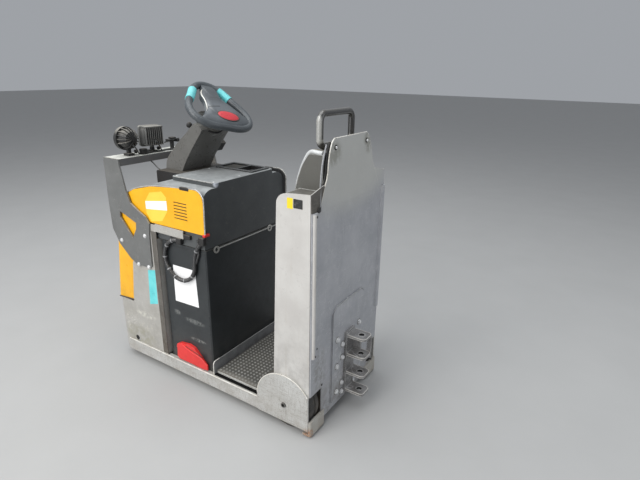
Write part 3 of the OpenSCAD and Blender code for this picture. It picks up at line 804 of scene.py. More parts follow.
CHASSIS_PAINT = Finish(
    "chassis_paint", 0xC6C6C3, 0xB7B6B2, 0.42, specular=0.45, edge=1.6, cloud=12.0, worn_and_highlight=0.6, worn_and_highlight_colour=0xE8E6DE,
    scratch=0.68, scratch_colour=0x685642, streak=0.22, streak_colour=0xA6A094, chip=0.13,
    chip_colour=0x685642, dirt=0.3, dirt_top=230.0, dirt_colour=0x968E82, dust=0.3, dust_colour=0xBAB6AC,
    grain_depth=0.03, marks=(RUST,))
FLANK_PAINT = Finish(
    "flank_paint", 0xCDCBC7, 0xC2BFBB, 0.34, edge=1.2, cloud=9.0, worn_and_highlight=0.4, worn_and_highlight_colour=0x96928A, scratch=0.3,
    scratch_colour=0xB4AEA4, streak=0.36, streak_colour=0xBEB9B0, chip=0.04, chip_colour=0x9E968A, dirt=0.5,
    dirt_top=700.0, dirt_colour=0x9C9995, dust=0.3, grain_depth=0.02)
FRONT_PAINT = replace(
    FLANK_PAINT, name="front_paint", colour=0xB4B2AD, shade=0xA8A59E, scratch=0.42, scratch_colour=0xD8D6CE,
    chip=0.06, dirt=0.3,
    marks=(Mark((1136, 302, 215), (66, 8, 60), 0xE0DED6, 0.42, 120.0, 0.5, 0.9),
           Mark((1010, 302, 286), (96, 8, 22), 0xDEDCD0, 0.46, 46.0, 0.5, 0.75),
           Mark((1010, 302, 216), (96, 8, 34), 0xD2D0C0, 0.4, 70.0, 0.5, 0.6),
           Mark((1080, 302, 150), (150, 8, 70), 0x96937C, 0.5, 26.0, 0.7, 0.6)))
# Grey of the rear plate, darker and bluer than the flank paint: partly the plate's own grey, partly painted
# shade of its rear-facing faces.
REAR_PAINT_AND_SHADE = Finish(
    "rear_plate_paint", 0xB4B5B9, 0xA2A4A9, 0.38, specular=0.45, edge=1.0, cloud=8.0, worn_and_highlight=0.42,
    worn_and_highlight_colour=0xE2E2E2, scratch=0.44, scratch_colour=0xD6D7D8, streak=0.3, streak_colour=0xB8B9BC, chip=0.09,
    chip_scale=220.0, chip_colour=0xE8E8E8, dirt=0.6, dirt_top=330.0, dirt_colour=0x8A8682,
    grain_depth=0.03,
    marks=(Mark((-5, 12, 522), (8, 5, 46), 0xF0F0F0, 0.85, 40.0),
           Mark((0, 0, 1150), (50, 520, 250), 0xC4C4BE, 0.72, 5.0, 0.4, 0.8),
           Mark((4, 150, 1200), (24, 90, 60), 0x8C8B80, 0.5, 34.0, 0.5, 0.7),
           Mark((4, -140, 1215), (24, 50, 60), 0x848378, 0.5, 34.0, 0.5, 0.7),
           Mark((-5, 230, 300), (10, 60, 150), 0x888682, 0.46, 40.0, 0.6, 0.6),
           Mark((-12, 70, 250), (10, 60, 190), 0xDEDEDE, 0.4, 60.0, 0.35, 0.7)))
FRAME_PAINT = Finish(
    "frame_paint", 0x4A4846, 0x3A3836, 0.6, edge=1.5, worn_and_highlight=0.3, dirt=0.8, dirt_top=420.0,
    dirt_colour=0x62584C, grain_depth=0.06)
RUSTY_STEEL = Finish(
    "rusty_steel", 0xB8B6AF, 0xA8A298, 0.55, edge=1.6, cloud=18.0, worn_and_highlight=0.3, worn_and_highlight_colour=0xA88C70, worn_and_highlight_metal=0.1,
    scratch=0.4, chip=0.08, chip_colour=0x966842, dirt=0.35, dirt_top=60.0, dirt_colour=0x8C745C,
    grain_depth=0.1, marks=(RUST,))
# Near-white bolt steel; its brightness partly paints the glints on the bolt heads.
BOLT_STEEL_AND_GLINT = Finish(
    "bolt_steel", 0xF4F4F4, 0xCECFD0, 0.24, 0.1, specular=0.7, edge=0.8, cloud=60.0, worn_and_highlight=0.5,
    worn_and_highlight_width=1.0, worn_and_highlight_colour=0xFAFAF6, worn_and_highlight_metal=0.3, chip=0.1, chip_scale=300.0, chip_colour=0x82786C)
COUPLING_STEEL = Finish(
    "coupling_steel", 0x9E9D9D, 0x706E6D, 0.44, 0.2, edge=1.4, cloud=20.0, worn_and_highlight=0.7, worn_and_highlight_width=3.0,
    worn_and_highlight_colour=0xDEDEDD, worn_and_highlight_metal=0.3, scratch=0.55, scratch_colour=0xCECECD, chip=0.14, chip_colour=0x584E46,
    dirt=0.35, dirt_top=460.0, dirt_colour=0x56504B, grain_depth=0.14)
TYRE_RUBBER = Finish(
    "tyre_rubber", 0x424140, 0x343332, 0.72, edge=1.5, cloud=20.0, scratch=0.5, scratch_colour=0x605E5A,
    chip=0.18, chip_colour=0x161616, dirt=0.8, dirt_top=300.0, dirt_colour=0x68625A, grain=400.0,
    grain_depth=0.22)
HUB_METAL = Finish(
    "hub_metal", 0x787774, 0x5C5A57, 0.5, 0.4, edge=1.4, cloud=24.0, worn_and_highlight=0.5, worn_and_highlight_colour=0xB0AFAC, chip=0.14,
    chip_colour=0x6E4A2E, dirt=0.7, dirt_top=300.0)
MAT_RUBBER = Finish(
    "mat_rubber", 0x50504E, 0x40403E, 0.82, specular=0.3, edge=0.8, cloud=12.0, worn_and_highlight=0.2, worn_and_highlight_colour=0x969086,
    worn_and_highlight_metal=0.0, scratch=0.4, scratch_colour=0x645E54, dust=0.45, dust_colour=0x68655E, grain=500.0,
    grain_depth=0.2,
    marks=(Mark((420, 290, 126), (240, 40, 14), 0x86827A, 0.9, 30.0, 0.85, 0.8),
           Mark((420, -290, 126), (240, 40, 14), 0x827E76, 0.8, 30.0, 0.85, 0.7)))
STUD_RUBBER = Finish(
    "stud_rubber", 0x92928F, 0x767673, 0.7, specular=0.35, edge=0.6, cloud=14.0, dust=0.6,
    dust_colour=0x96938C, grain=500.0, grain_depth=0.1)
DARK_PANEL = Finish(
    "dark_panel", 0x363637, 0x2A2A2B, 0.6, edge=1.6, worn_and_highlight=0.32, worn_and_highlight_colour=0x62605C, worn_and_highlight_metal=0.2, scratch=0.4,
    scratch_colour=0x605E5C, dirt=0.5, dirt_top=500.0, dust=0.5, grain=1400.0, grain_depth=0.12)
BLACK_PLASTIC = Finish(
    "black_plastic", 0x2A2929, 0x222121, 0.46, edge=1.6, scratch=0.32, scratch_colour=0x565452, dust=0.5,
    dust_colour=0x787166, grain=1500.0, grain_depth=0.1)
# Black tray plastic whose pale blue-grey edges paint the highlight along the tray's edges.
TRAY_PLASTIC = replace(
    BLACK_PLASTIC, name="tray_plastic", worn_and_highlight=0.9, worn_and_highlight_width=3.5, worn_and_highlight_colour=0x9C9FA0, worn_and_highlight_metal=0.0, dust=0.6,
    dust_colour=0x787A7A)
# Near black for painted shade in gaps.
PAINTED_GAP_SHADE = Finish(
    "painted_gap_shade", 0x0C0C0C, 0x111110, 0.9, specular=0.15, edge=0.3)
# Dark cowl plastic. Its broad, even pale edge band is a painted highlight along the rounded rim.
SHELL_PLASTIC = Finish(
    "shell_plastic", 0x5C5B56, 0x52514C, 0.45, edge=5.0, worn_and_highlight=0.9, worn_and_highlight_width=8.0, worn_and_highlight_colour=0xB8B9B5,
    worn_and_highlight_metal=0.0, scratch=0.34, scratch_colour=0x807B74, dust=0.45, dust_colour=0x968F84, grain=1300.0,
    grain_depth=0.09)
HANDLE_RUBBER = Finish(
    "handle_rubber", 0x383735, 0x2C2B2A, 0.2, specular=0.7, coat=0.6, scratch=0.24, scratch_colour=0x6E6C68,
    dust=0.2, grain_depth=0.02,
    # Two pale marks paint highlights: along the top of the lower bar and down the outer side of the left leg.
    marks=(Mark((76, 60, 1236), (40, 150, 12), 0xB0AEA8, 0.9, 40.0, 0.4, 0.8),
           Mark((76, 138, 1292), (36, 15, 140), 0xB0B0AC, 0.85, 30.0, 0.25, 0.8)))
BATTERY_CASE = Finish(
    "battery_case", 0x34383A, 0x2C2F31, 0.42, specular=0.45, worn_and_highlight=0.4, worn_and_highlight_width=3.0, worn_and_highlight_colour=0x767674,
    worn_and_highlight_metal=0.1, scratch=0.22, scratch_colour=0x686A68, streak=0.2, streak_colour=0x545656, chip=0.03,
    chip_colour=0x787670, dirt=0.45, dirt_top=330.0, dirt_colour=0x605C56, dust=0.4, grain_depth=0.04,
    marks=(Mark((785, 288, 366), (30, 12, 16), 0x848684, 0.5, 70.0, 0.8, 0.7),
           Mark((668, 288, 346), (84, 12, 17), 0x7E807E, 0.5, 60.0, 0.8, 0.7),
           Mark((652, 288, 250), (66, 12, 12), 0x969692, 0.46, 120.0, 0.8, 0.7)))
RING_ZINC = Finish(
    "ring_zinc", 0xCECCC6, 0xACAAA4, 0.34, 0.35, edge=0.8, worn_and_highlight=0.5, worn_and_highlight_width=1.0, worn_and_highlight_colour=0xE2E0DA,
    chip=0.15, chip_colour=0x78583C)
# Red plastic. Its pale pink edges paint the highlight along the edges of the lock and the horn cap, together
# with rubbed places.
RED_PLASTIC = Finish(
    "red_plastic", 0xEC3A38, 0xD83230, 0.4, edge=1.6, worn_and_highlight=0.5, worn_and_highlight_colour=0xF4887A, worn_and_highlight_metal=0.0, scratch=0.3,
    scratch_colour=0xF08274, dirt=0.15, dirt_top=260.0, dirt_colour=0x96463C, grain_depth=0.06)
BUTTON_RED = replace(
    RED_PLASTIC, name="button_red", colour=0xDE4A50, shade=0xC43840, chip=0.3, chip_scale=110.0,
    chip_colour=0x683E42, dirt=0.0)
CABLE_SHEATH = Finish(
    "cable_sheath", 0x3C3C3D, 0x2C2C2D, 0.2, specular=0.7, edge=0.7, cloud=20.0, scratch=0.3,
    scratch_colour=0x5A5856, dust=0.55, dust_colour=0x6E6860)
HOOD_PLASTIC = Finish(
    "hood_plastic", 0x545758, 0x4A4D4E, 0.4, edge=3.0, worn_and_highlight=0.36, worn_and_highlight_width=5.0, worn_and_highlight_colour=0x96989A,
    worn_and_highlight_metal=0.0, scratch=0.36, scratch_colour=0x767572, streak=0.24, streak_colour=0x626464, chip=0.04,
    chip_colour=0x96948E, dust=1.0, dust_colour=0xA2A5A5, grain=1500.0, grain_depth=0.08,
    # Pale blue-white mark at the left rear corner of the console: a painted highlight.
    marks=(Mark((562, 196, 1016), (20, 18, 20), 0xC4CAD2, 0.75, 60.0, 0.3, 0.85),))
YELLOW_PANEL = Finish(
    "yellow_panel", 0xFFBE22, 0xF4B01A, 0.36, worn_and_highlight=0.2, worn_and_highlight_colour=0xD69E3C, worn_and_highlight_metal=0.0, scratch=0.24,
    scratch_colour=0xE2B046, streak=0.22, streak_colour=0xE0A62E, chip=0.03, chip_colour=0x967032,
    dirt=0.25, dirt_top=700.0, dirt_colour=0x786036, dust=0.35, dust_colour=0xC4A868, grain=1500.0)
GUARD_PAINT = Finish(
    "guard_paint", 0x747574, 0x686968, 0.46, edge=1.8, worn_and_highlight=0.5, worn_and_highlight_colour=0xAAA8A4, scratch=0.4,
    scratch_colour=0x989692, streak=0.26, streak_colour=0x807E7A, chip=0.08, chip_colour=0xA09E98, dust=0.6,
    dust_colour=0xBEB8AC)
LAMP_BLACK = Finish(
    "lamp_black", 0x383838, 0x2A2A2A, 0.42, 0.1, edge=1.0, worn_and_highlight=0.4, worn_and_highlight_width=1.5, worn_and_highlight_colour=0x8C8A86,
    dust=1.0, dust_colour=0xA09C94)
LAMP_GREY = replace(
    LAMP_BLACK, name="lamp_grey", colour=0x767674, shade=0x5C5C5A)
COLUMN_PAINT = Finish(
    "column_paint", 0x6E6D6A, 0x62615E, 0.32, coat=0.15, edge=4.0, worn_and_highlight=0.3, worn_and_highlight_width=4.0, worn_and_highlight_colour=0x8C8B87,
    worn_and_highlight_metal=0.1, scratch=0.3, scratch_colour=0x787672, streak=0.24, streak_colour=0x6C6A66, dust=0.4,
    dust_colour=0x8C8982, grain_depth=0.03)
WHEEL_RIM = Finish(
    "wheel_rim", 0x54595D, 0x484D51, 0.34, edge=3.0, cloud=16.0, worn_and_highlight=0.2, worn_and_highlight_width=6.0, worn_and_highlight_colour=0x787A7C,
    worn_and_highlight_metal=0.0, scratch=0.26, scratch_colour=0x6E7072, dust=0.12, dust_colour=0x828280, grain=1200.0,
    grain_depth=0.06,
    marks=(Mark((728, 60, 1334), (60, 12, 60), 0xA4A3A0, 0.6, 60.0, 0.35, 0.7),
           Mark((690, 30, 1310), (110, 130, 60), 0x70757A, 0.6, 12.0, 0.3, 0.7)))
TAPE = Finish(
    "turquoise_tape", 0x7AE0E3, 0x62D0D5, 0.42, edge=0.8, cloud=30.0, worn_and_highlight=0.3, worn_and_highlight_width=1.0,
    worn_and_highlight_colour=0xAAE2E2, worn_and_highlight_metal=0.0, scratch=0.34, scratch_colour=0x3C969C, chip=0.1, chip_colour=0x466E6E,
    dust=0.25)
WHITE_LABEL = Finish(
    "white_label", 0xFFFFFF, 0xFAFAFA, 0.5, edge=0.3, scratch=0.3, scratch_colour=0xA8A59E, chip=0.08,
    chip_colour=0x96928A, grain_depth=0.02)
YELLOW_LABEL = Finish(
    "yellow_label", 0xFAE028, 0xF0D428, 0.45, edge=0.3, scratch=0.2, grain_depth=0.02)
PALE_LABEL = Finish(
    "pale_label", 0xF8DC54, 0xF0D24A, 0.42, edge=0.3, scratch=0.2, scratch_colour=0xC8AA5A,
    grain_depth=0.02)
BLACK_LABEL = Finish(
    "black_label", 0x222222, 0x2C2C2B, 0.5, edge=0.3, scratch=0.3, grain_depth=0.02)
BAR_PAINT = Finish(
    "bar_paint", 0x6C6D6F, 0x606163, 0.5, edge=1.8, worn_and_highlight=0.5, worn_and_highlight_colour=0x969694, scratch=0.4,
    scratch_colour=0x787876, streak=0.3, streak_colour=0x8C8C88, chip=0.06, chip_colour=0x605E5A, dust=1.15,
    dust_colour=0xD8D8D0)
# Dark brownish steel with rust and dirt. On the front pillar it also paints the shade of the body's turned-in
# rear edge.
PILLAR_STEEL_AND_SHADE = Finish(
    "pillar_steel_and_shade", 0x706C66, 0x5C5853, 0.5, 0.2, edge=1.2, cloud=16.0, worn_and_highlight=0.4, worn_and_highlight_colour=0xA09E98,
    scratch=0.5, scratch_colour=0x8C8880, chip=0.1, chip_colour=0x704E36, dirt=0.6, dirt_top=500.0,
    dirt_colour=0x5C5246)
# Pale edge finish with scratches and chips; along the wheel plates, the rail and the head of the rear plate
# it paints the highlight of the edge.
WORN_EDGE_AND_HIGHLIGHT = Finish(
    "worn_edge_and_highlight", 0xF0EEE8, 0xD0CBC0, 0.4, 0.1, edge=0.6, cloud=30.0, worn_and_highlight=0.3, worn_and_highlight_colour=0xF0EEE8, scratch=0.4,
    scratch_colour=0x8C8070, chip=0.2, chip_colour=0x80705C, grain_depth=0.03)
# Silver edge finish; along the top of the side covers and the edge of the console it paints a highlight.
SILVER_TRIM_AND_HIGHLIGHT = Finish(
    "silver_trim_and_highlight", 0xCECECB, 0xB0B0AC, 0.3, 0.35, edge=0.8, cloud=20.0, worn_and_highlight=0.3, worn_and_highlight_width=1.5,
    worn_and_highlight_colour=0xECECE8, scratch=0.5, scratch_colour=0x787672, chip=0.1, chip_colour=0x6E6A64, dust=0.3)
# Black rubber for seals, washers, seams and holes; also the dark sheets and linings that paint shade in gaps
# and holes.
SEAL_RUBBER_AND_SHADE = Finish(
    "seal_rubber_and_shade", 0x141414, 0x1B1B1A, 0.66, edge=0.8, dust=0.35, grain_depth=0.08)
PAD_COVER = Finish(
    "pad_cover", 0x2E2D2D, 0x262525, 0.48, specular=0.45, edge=1.0, cloud=18.0, scratch=0.3,
    scratch_colour=0x5C5A56, dust=0.3, grain=700.0, grain_depth=0.35)
LAMP_GLASS = Finish(
    "lamp_glass", 0xCED2D4, 0xBEC2C5, 0.12, specular=0.7, coat=0.6, edge=1.0, scratch=0.2, dust=0.3,
    grain=120.0, grain_depth=0.3)
KICK_STEEL = Finish(
    "kick_steel", 0x9C9DA0, 0x86878A, 0.4, 0.2, edge=1.2, cloud=16.0, worn_and_highlight=0.66, worn_and_highlight_width=3.0,
    worn_and_highlight_colour=0xD6D5D2, worn_and_highlight_metal=0.4, scratch=0.5, scratch_colour=0xA6A5A2, chip=0.08, chip_colour=0x6E5C4A,
    dirt=0.3, dirt_top=260.0, dirt_colour=0x64605A)
# Pale glossy finish of the tube along the cowl's rounded edge: a painted highlight.
COWL_EDGE_HIGHLIGHT = Finish(
    "cowl_edge_highlight", 0xCED0D0, 0xBCBEBE, 0.34, specular=0.6, coat=0.3, edge=1.0, cloud=26.0, worn_and_highlight=0.3,
    worn_and_highlight_colour=0xE2E3E2, worn_and_highlight_metal=0.0, scratch=0.4, scratch_colour=0x8C8A86, dust=0.2, grain=1200.0)


# Repeated fittings


class Unit(Enum):
    """The small shape that a pattern repeats."""

    BOLT = "hexagon head with a washer"
    SCREW = "round head with a recess"
    STUD = "low round stud"
    SLAT = "slanted slat"
    RIBS = "ribbed sleeve along a path"


class Look(Enum):
    """Turns, in degrees, that point an upright shape to one side of the tug."""

    UP = (0.0, 0.0, 0.0)
    REAR = (0.0, -90.0, 0.0)
    NOSE = (0.0, 82.0, 0.0)
    LEFT = (-90.0, 0.0, 0.0)
    RIGHT = (90.0, 0.0, 0.0)


class Pattern:
    """A Geometry Nodes tree that repeats one unit at points, or along a path."""

    trees: dict[Unit, bpy.types.NodeTree] = {}
    INPUTS: dict[str, tuple[str, object]] = {
        "Radius": ("NodeSocketFloat", 0.008), "Height": ("NodeSocketFloat", 0.005),
        "Width": ("NodeSocketFloat", 0.01), "Pitch": ("NodeSocketFloat", 0.02),
        "Turn": ("NodeSocketVector", (0.0, 0.0, 0.0)), "Seed": ("NodeSocketInt", 7),
        "Finish": ("NodeSocketMaterial", None)}

    def __init__(self, unit: Unit) -> None:
        """Keeps the unit and whether it runs along a path."""
        self.unit = unit
        self.runs = unit is Unit.RIBS

    def tree(self) -> bpy.types.NodeTree:
        """Builds the tree of the unit at its first use.

        Returns:
            The tree.
        """
        if self.unit in Pattern.trees:
            return Pattern.trees[self.unit]
        tree = bpy.data.node_groups.new("repeat_" + self.unit.name.lower(), "GeometryNodeTree")
        tree.interface.new_socket(name="Points", in_out="INPUT", socket_type="NodeSocketGeometry")
        for key, (kind, value) in self.INPUTS.items():
            socket = tree.interface.new_socket(name=key, in_out="INPUT", socket_type=kind)
            if value is not None:
                socket.default_value = value
        tree.interface.new_socket(name="Result", in_out="OUTPUT", socket_type="NodeSocketGeometry")
        net = Net(tree)
        take = net.add("NodeGroupInput").outputs
        if self.runs:
            shape = self.sleeve(net, take)
        else:
            unit = {Unit.BOLT: self.bolt, Unit.SCREW: self.screw, Unit.STUD: self.stud,
                    Unit.SLAT: self.slat}[self.unit](net, take)
            most = 0.0 if self.unit is Unit.SLAT else 6.28
            angle = net.add("FunctionNodeRandomValue", {"Seed": take["Seed"], 3: most},
                            data_type="FLOAT")
            spin = net.add("ShaderNodeCombineXYZ", {2: angle.outputs[1]}).outputs[0]
            placed = net.add("GeometryNodeInstanceOnPoints", {"Points": take["Points"], "Instance": unit,
                                                              "Rotation": take["Turn"]}).outputs[0]
            shape = net.add("GeometryNodeRotateInstances", {"Instances": placed, "Rotation": spin,
                                                            "Local Space": True}).outputs[0]
        real = net.add("GeometryNodeRealizeInstances", {0: shape}).outputs[0]
        done = net.add("GeometryNodeSetMaterial", {"Geometry": real, "Material": take["Finish"]})
        net.add("NodeGroupOutput", {0: done.outputs[0]})
        Pattern.trees[self.unit] = tree
        return tree

    @staticmethod
    def drum(net: Net, sides: int, radius: Value, depth: Value, lift: Value,
             top: Value | None = None) -> Socket:
        """Makes an upright drum or cone whose foot is at a height.

        Args:
            net: The tree.
            sides: Faces round it.
            radius: Radius of the foot.
            depth: Height of the drum.
            lift: Height of the foot.
            top: Radius of the top, where it differs.

        Returns:
            The drum's geometry.
        """
        if top is None:
            made = net.add("GeometryNodeMeshCylinder", {"Vertices": sides, "Radius": radius, "Depth": depth})
            rise: Value = net.math("ADD", lift, net.math("MULTIPLY", depth, 0.5))
        else:
            made = net.add("GeometryNodeMeshCone", {"Vertices": sides, "Radius Bottom": radius,
                                                    "Radius Top": top, "Depth": depth})
            rise = lift
        move = net.add("ShaderNodeCombineXYZ", {2: rise}).outputs[0]
        return net.add("GeometryNodeTransform", {"Geometry": made.outputs["Mesh"],
                                                 "Translation": move}).outputs[0]

    @staticmethod
    def together(net: Net, *shapes: Socket) -> Socket:
        """Returns the shapes as one geometry.

        Args:
            net: The tree.
            *shapes: The geometries.

        Returns:
            One geometry.
        """
        node = net.add("GeometryNodeJoinGeometry")
        for shape in shapes:
            net.tree.links.new(shape, node.inputs[0])
        return node.outputs[0]

    def bolt(self, net: Net, take: dict[str, Socket]) -> Socket:
        """A washer, a six-sided head and its chamfer.

        Args:
            net: The tree.
            take: Its inputs by name.

        Returns:
            The unit's geometry.
        """
        radius, height = take["Radius"], take["Height"]
        thin = net.math("MULTIPLY", height, 0.22)
        body = net.math("MULTIPLY", height, 0.58)
        washer = self.drum(net, 20, net.math("MULTIPLY", radius, 1.32), thin, 0.0)
        head = self.drum(net, 6, radius, body, thin)
        cap = self.drum(net, 6, radius, net.math("MULTIPLY", height, 0.2), net.math("ADD", thin, body),
                        net.math("MULTIPLY", radius, 0.78))
        return self.together(net, washer, head, cap)

    def screw(self, net: Net, take: dict[str, Socket]) -> Socket:
        """A low round head with a small inner drum that reads as its recess.

        Args:
            net: The tree.
            take: Its inputs by name.

        Returns:
            The unit's geometry.
        """
        radius, height = take["Radius"], take["Height"]
        foot = net.math("MULTIPLY", height, 0.45)
        low = self.drum(net, 16, radius, foot, 0.0)
        crown = self.drum(net, 16, radius, net.math("MULTIPLY", height, 0.55), foot,
                          net.math("MULTIPLY", radius, 0.55))
        return self.together(net, low, crown)

    def stud(self, net: Net, take: dict[str, Socket]) -> Socket:
        """A flat round stud with a sloping side."""
        radius = take["Radius"]
        return self.drum(net, 10, radius, take["Height"], 0.0, net.math("MULTIPLY", radius, 0.72))

    def slat(self, net: Net, take: dict[str, Socket]) -> Socket:
        """A thin slat, Width long, Radius deep and Height thick."""
        size = net.add("ShaderNodeCombineXYZ", {0: take["Width"], 1: take["Height"], 2: take["Radius"]})
        return net.add("GeometryNodeMeshCube", {"Size": size.outputs[0]}).outputs["Mesh"]

    def sleeve(self, net: Net, take: dict[str, Socket]) -> Socket:
        """A tube along the path whose radius changes from ring to ring, with four rings to a pitch.

        Args:
            net: The tree.
            take: Its inputs by name.

        Returns:
            The sleeve's geometry.
        """
        curve = net.add("GeometryNodeMeshToCurve", {0: take["Points"]}).outputs[0]
        step = net.math("MULTIPLY", take["Pitch"], 0.25)
        even = net.add("GeometryNodeResampleCurve", {"Curve": curve, "Length": step},
                       mode="LENGTH").outputs[0]
        index = net.add("GeometryNodeInputIndex").outputs[0]
        phase = net.math("MODULO", index, 4.0)
        high = net.math("LESS_THAN", phase, 1.5)
        size = net.math("ADD", take["Radius"], net.math("MULTIPLY", high, take["Height"]))
        even = net.add("GeometryNodeSetCurveRadius", {"Curve": even, "Radius": size}).outputs[0]
        ring = net.add("GeometryNodeCurvePrimitiveCircle", {"Resolution": 14, "Radius": 1.0}).outputs[0]
        sweep = net.add("GeometryNodeCurveToMesh", {"Curve": even, "Profile Curve": ring, "Fill Caps": True})
        if "Scale" in sweep.inputs:
            radius = net.add("GeometryNodeInputRadius").outputs[0]
            net.feed(sweep.inputs["Scale"], radius)
        return sweep.outputs[0]

    def grow(self, name: str, points: Sequence[Vector], finish: Finish, slot: str,
             look: Look = Look.UP, **sizes: float) -> bpy.types.Object:
        """Repeats the unit at points and fixes the result to the chassis.

        Args:
            name: Name of the piece.
            points: Places in metres; for a sleeve the points of its path.
            finish: Its finish.
            slot: Material slot of the record.
            look: Side that the unit points to.
            **sizes: Sizes of the unit in millimetres, named as the tree's inputs.

        Returns:
            The piece, a plain mesh.
        """
        data = bpy.data.meshes.new(name)
        links = [(i, i + 1) for i in range(len(points) - 1)] if self.runs else []
        data.from_pydata([tuple(p) for p in points], links, [])
        piece = placed(name, data)
        tree = self.tree()
        grown = piece.modifiers.new("pattern", "NODES")
        grown.node_group = tree
        values: dict[str, object] = {key.capitalize(): size * MM for key, size in sizes.items()}
        values["Turn"] = [math.radians(angle) for angle in look.value]
        values["Finish"] = finish.material()
        for item in tree.interface.items_tree:
            if item.name in values and item.in_out == "INPUT":
                grown[item.identifier] = values[item.name]
        graph = bpy.context.evaluated_depsgraph_get()
        graph.update()
        made = bpy.data.meshes.new_from_object(piece.evaluated_get(graph))
        piece.modifiers.clear()
        piece.data = made
        bpy.data.meshes.remove(data)
        made.name = name
        made.shade_smooth()
        made.set_sharp_from_angle(angle=math.radians(60.0 if self.runs else 30.0))
        return mount(piece, finish, slot)


# Sub-assemblies


@dataclass
class Studio:
    """Floor, light and camera."""

    camera_place: Triple = (-1.465, 1.669, 1.493)
    yaw: float = -57.7417
    pitch: float = 19.712
    roll: float = 0.9332
    lens: float = 26.805
    floor_half: float = 30.0
    sky: Triple = (0.86, 0.9, 0.96)
    sky_power: float = 0.4

    def build(self) -> None:
        """Sets the floor, the light and the camera."""
        self.camera()
        self.floor()
        self.light()

    def camera(self) -> None:
        """Places the camera where the photograph was taken."""
        yaw, pitch, roll = (math.radians(v) for v in (self.yaw, self.pitch, self.roll))
        ahead = Vector((math.cos(yaw) * math.cos(pitch), math.sin(yaw) * math.cos(pitch), -math.sin(pitch)))
        right = Vector((math.sin(yaw), -math.cos(yaw), 0.0))
        up = right.cross(ahead)
        across = math.cos(roll) * right + math.sin(roll) * up
        above = math.cos(roll) * up - math.sin(roll) * right
        lens = bpy.data.cameras.new("photo_camera")
        lens.lens = self.lens
        lens.sensor_width = 36.0
        lens.clip_end = 200.0
        camera = placed("photo_camera", lens)
        turn = Matrix((across, above, -ahead)).transposed()
        camera.matrix_world = Matrix.Translation(self.camera_place) @ turn.to_4x4()
        bpy.context.scene.camera = camera

    def floor(self) -> None:
        """Lays a plain pale floor."""
        half = self.floor_half
        data = bpy.data.meshes.new("floor")
        corners = [(-half, -half, 0), (half, -half, 0), (half, half, 0), (-half, half, 0)]
        data.from_pydata(corners, [], [(0, 1, 2, 3)])
        made = bpy.data.materials.new("pale_floor")
        made.use_nodes = True
        net = Net(made.node_tree)
        shell = made.node_tree.nodes["Principled BSDF"]
        cloud = net.noise(net.add("ShaderNodeTexCoord").outputs["Object"], 3.0, 5.0, 0.6)
        net.feed(shell.inputs["Base Color"], net.blend(cloud, 0xB8B8B7, 0xB0B0AF))
        shell.inputs["Roughness"].default_value = 0.85
        data.materials.append(made)
        placed("floor", data)

    def light(self) -> None:
        """Sets the soft light of an overcast day."""
        world = bpy.data.worlds.new("studio")
        world.use_nodes = True
        back = world.node_tree.nodes["Background"]
        back.inputs["Color"].default_value = (*self.sky, 1.0)
        back.inputs["Strength"].default_value = self.sky_power
        bpy.context.scene.world = world
        for name, place, aim, size, power, colour in (
                ("key", (0.6, 4.6, 4.2), (0.0, 0.0, 0.6), 4.0, 222.0, (1.0, 0.98, 0.95)),
                ("side", (0.9, 5.6, 1.1), (0.1, 0.0, 0.8), 3.2, 60.0, (0.97, 0.98, 1.0)),
                ("top", (0.6, 0.6, 5.2), (0.1, 0.0, 0.4), 5.0, 170.0, (0.95, 0.98, 1.0)),
                ("fill", (-4.4, -1.2, 2.4), (0.0, 0.0, 0.6), 3.0, 22.0, (0.96, 0.98, 1.0))):
            data = bpy.data.lights.new(name, "AREA")
            data.size, data.energy, data.color = size, power, colour
            turn = (Vector(aim) - Vector(place)).to_track_quat("-Z", "Y").to_matrix().to_4x4()
            placed(name, data).matrix_world = Matrix.Translation(place) @ turn
        bpy.context.scene.view_settings.view_transform = "Standard"


@dataclass
class Wheel:
    """A solid rubber tyre with shallow grooves that takes the place of the plain one."""

    node: str
    x: float
    y: float
    radius: float
    width: float
    inner: float
    body: Body
    steps: int = 60
    groove: float = 4.0

    def build(self) -> None:
        """Turns the tyre, with square shoulders, a groove and a bead, and fixes it to its body."""
        r, half, low = self.radius, self.width / 2, self.radius - self.groove
        flank = [(self.inner, 4), (self.inner + 6, 0), (r - 9, 1.5), (r - 2.5, 6), (r, 13)]
        profile = [(far, -half + step) for far, step in flank]
        profile += [(r, -7.0), (low, -5.0), (low, 5.0), (r, 7.0)]
        profile += [(far, half - step) for far, step in flank[::-1]]
        tyre = turned(f"{self.node}_solid", profile, at(self.x, self.y, r), (0, 1, 0), self.steps, 40)
        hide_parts(self.node)
        mount(tyre, TYRE_RUBBER, "tyre_rubber", self.body)


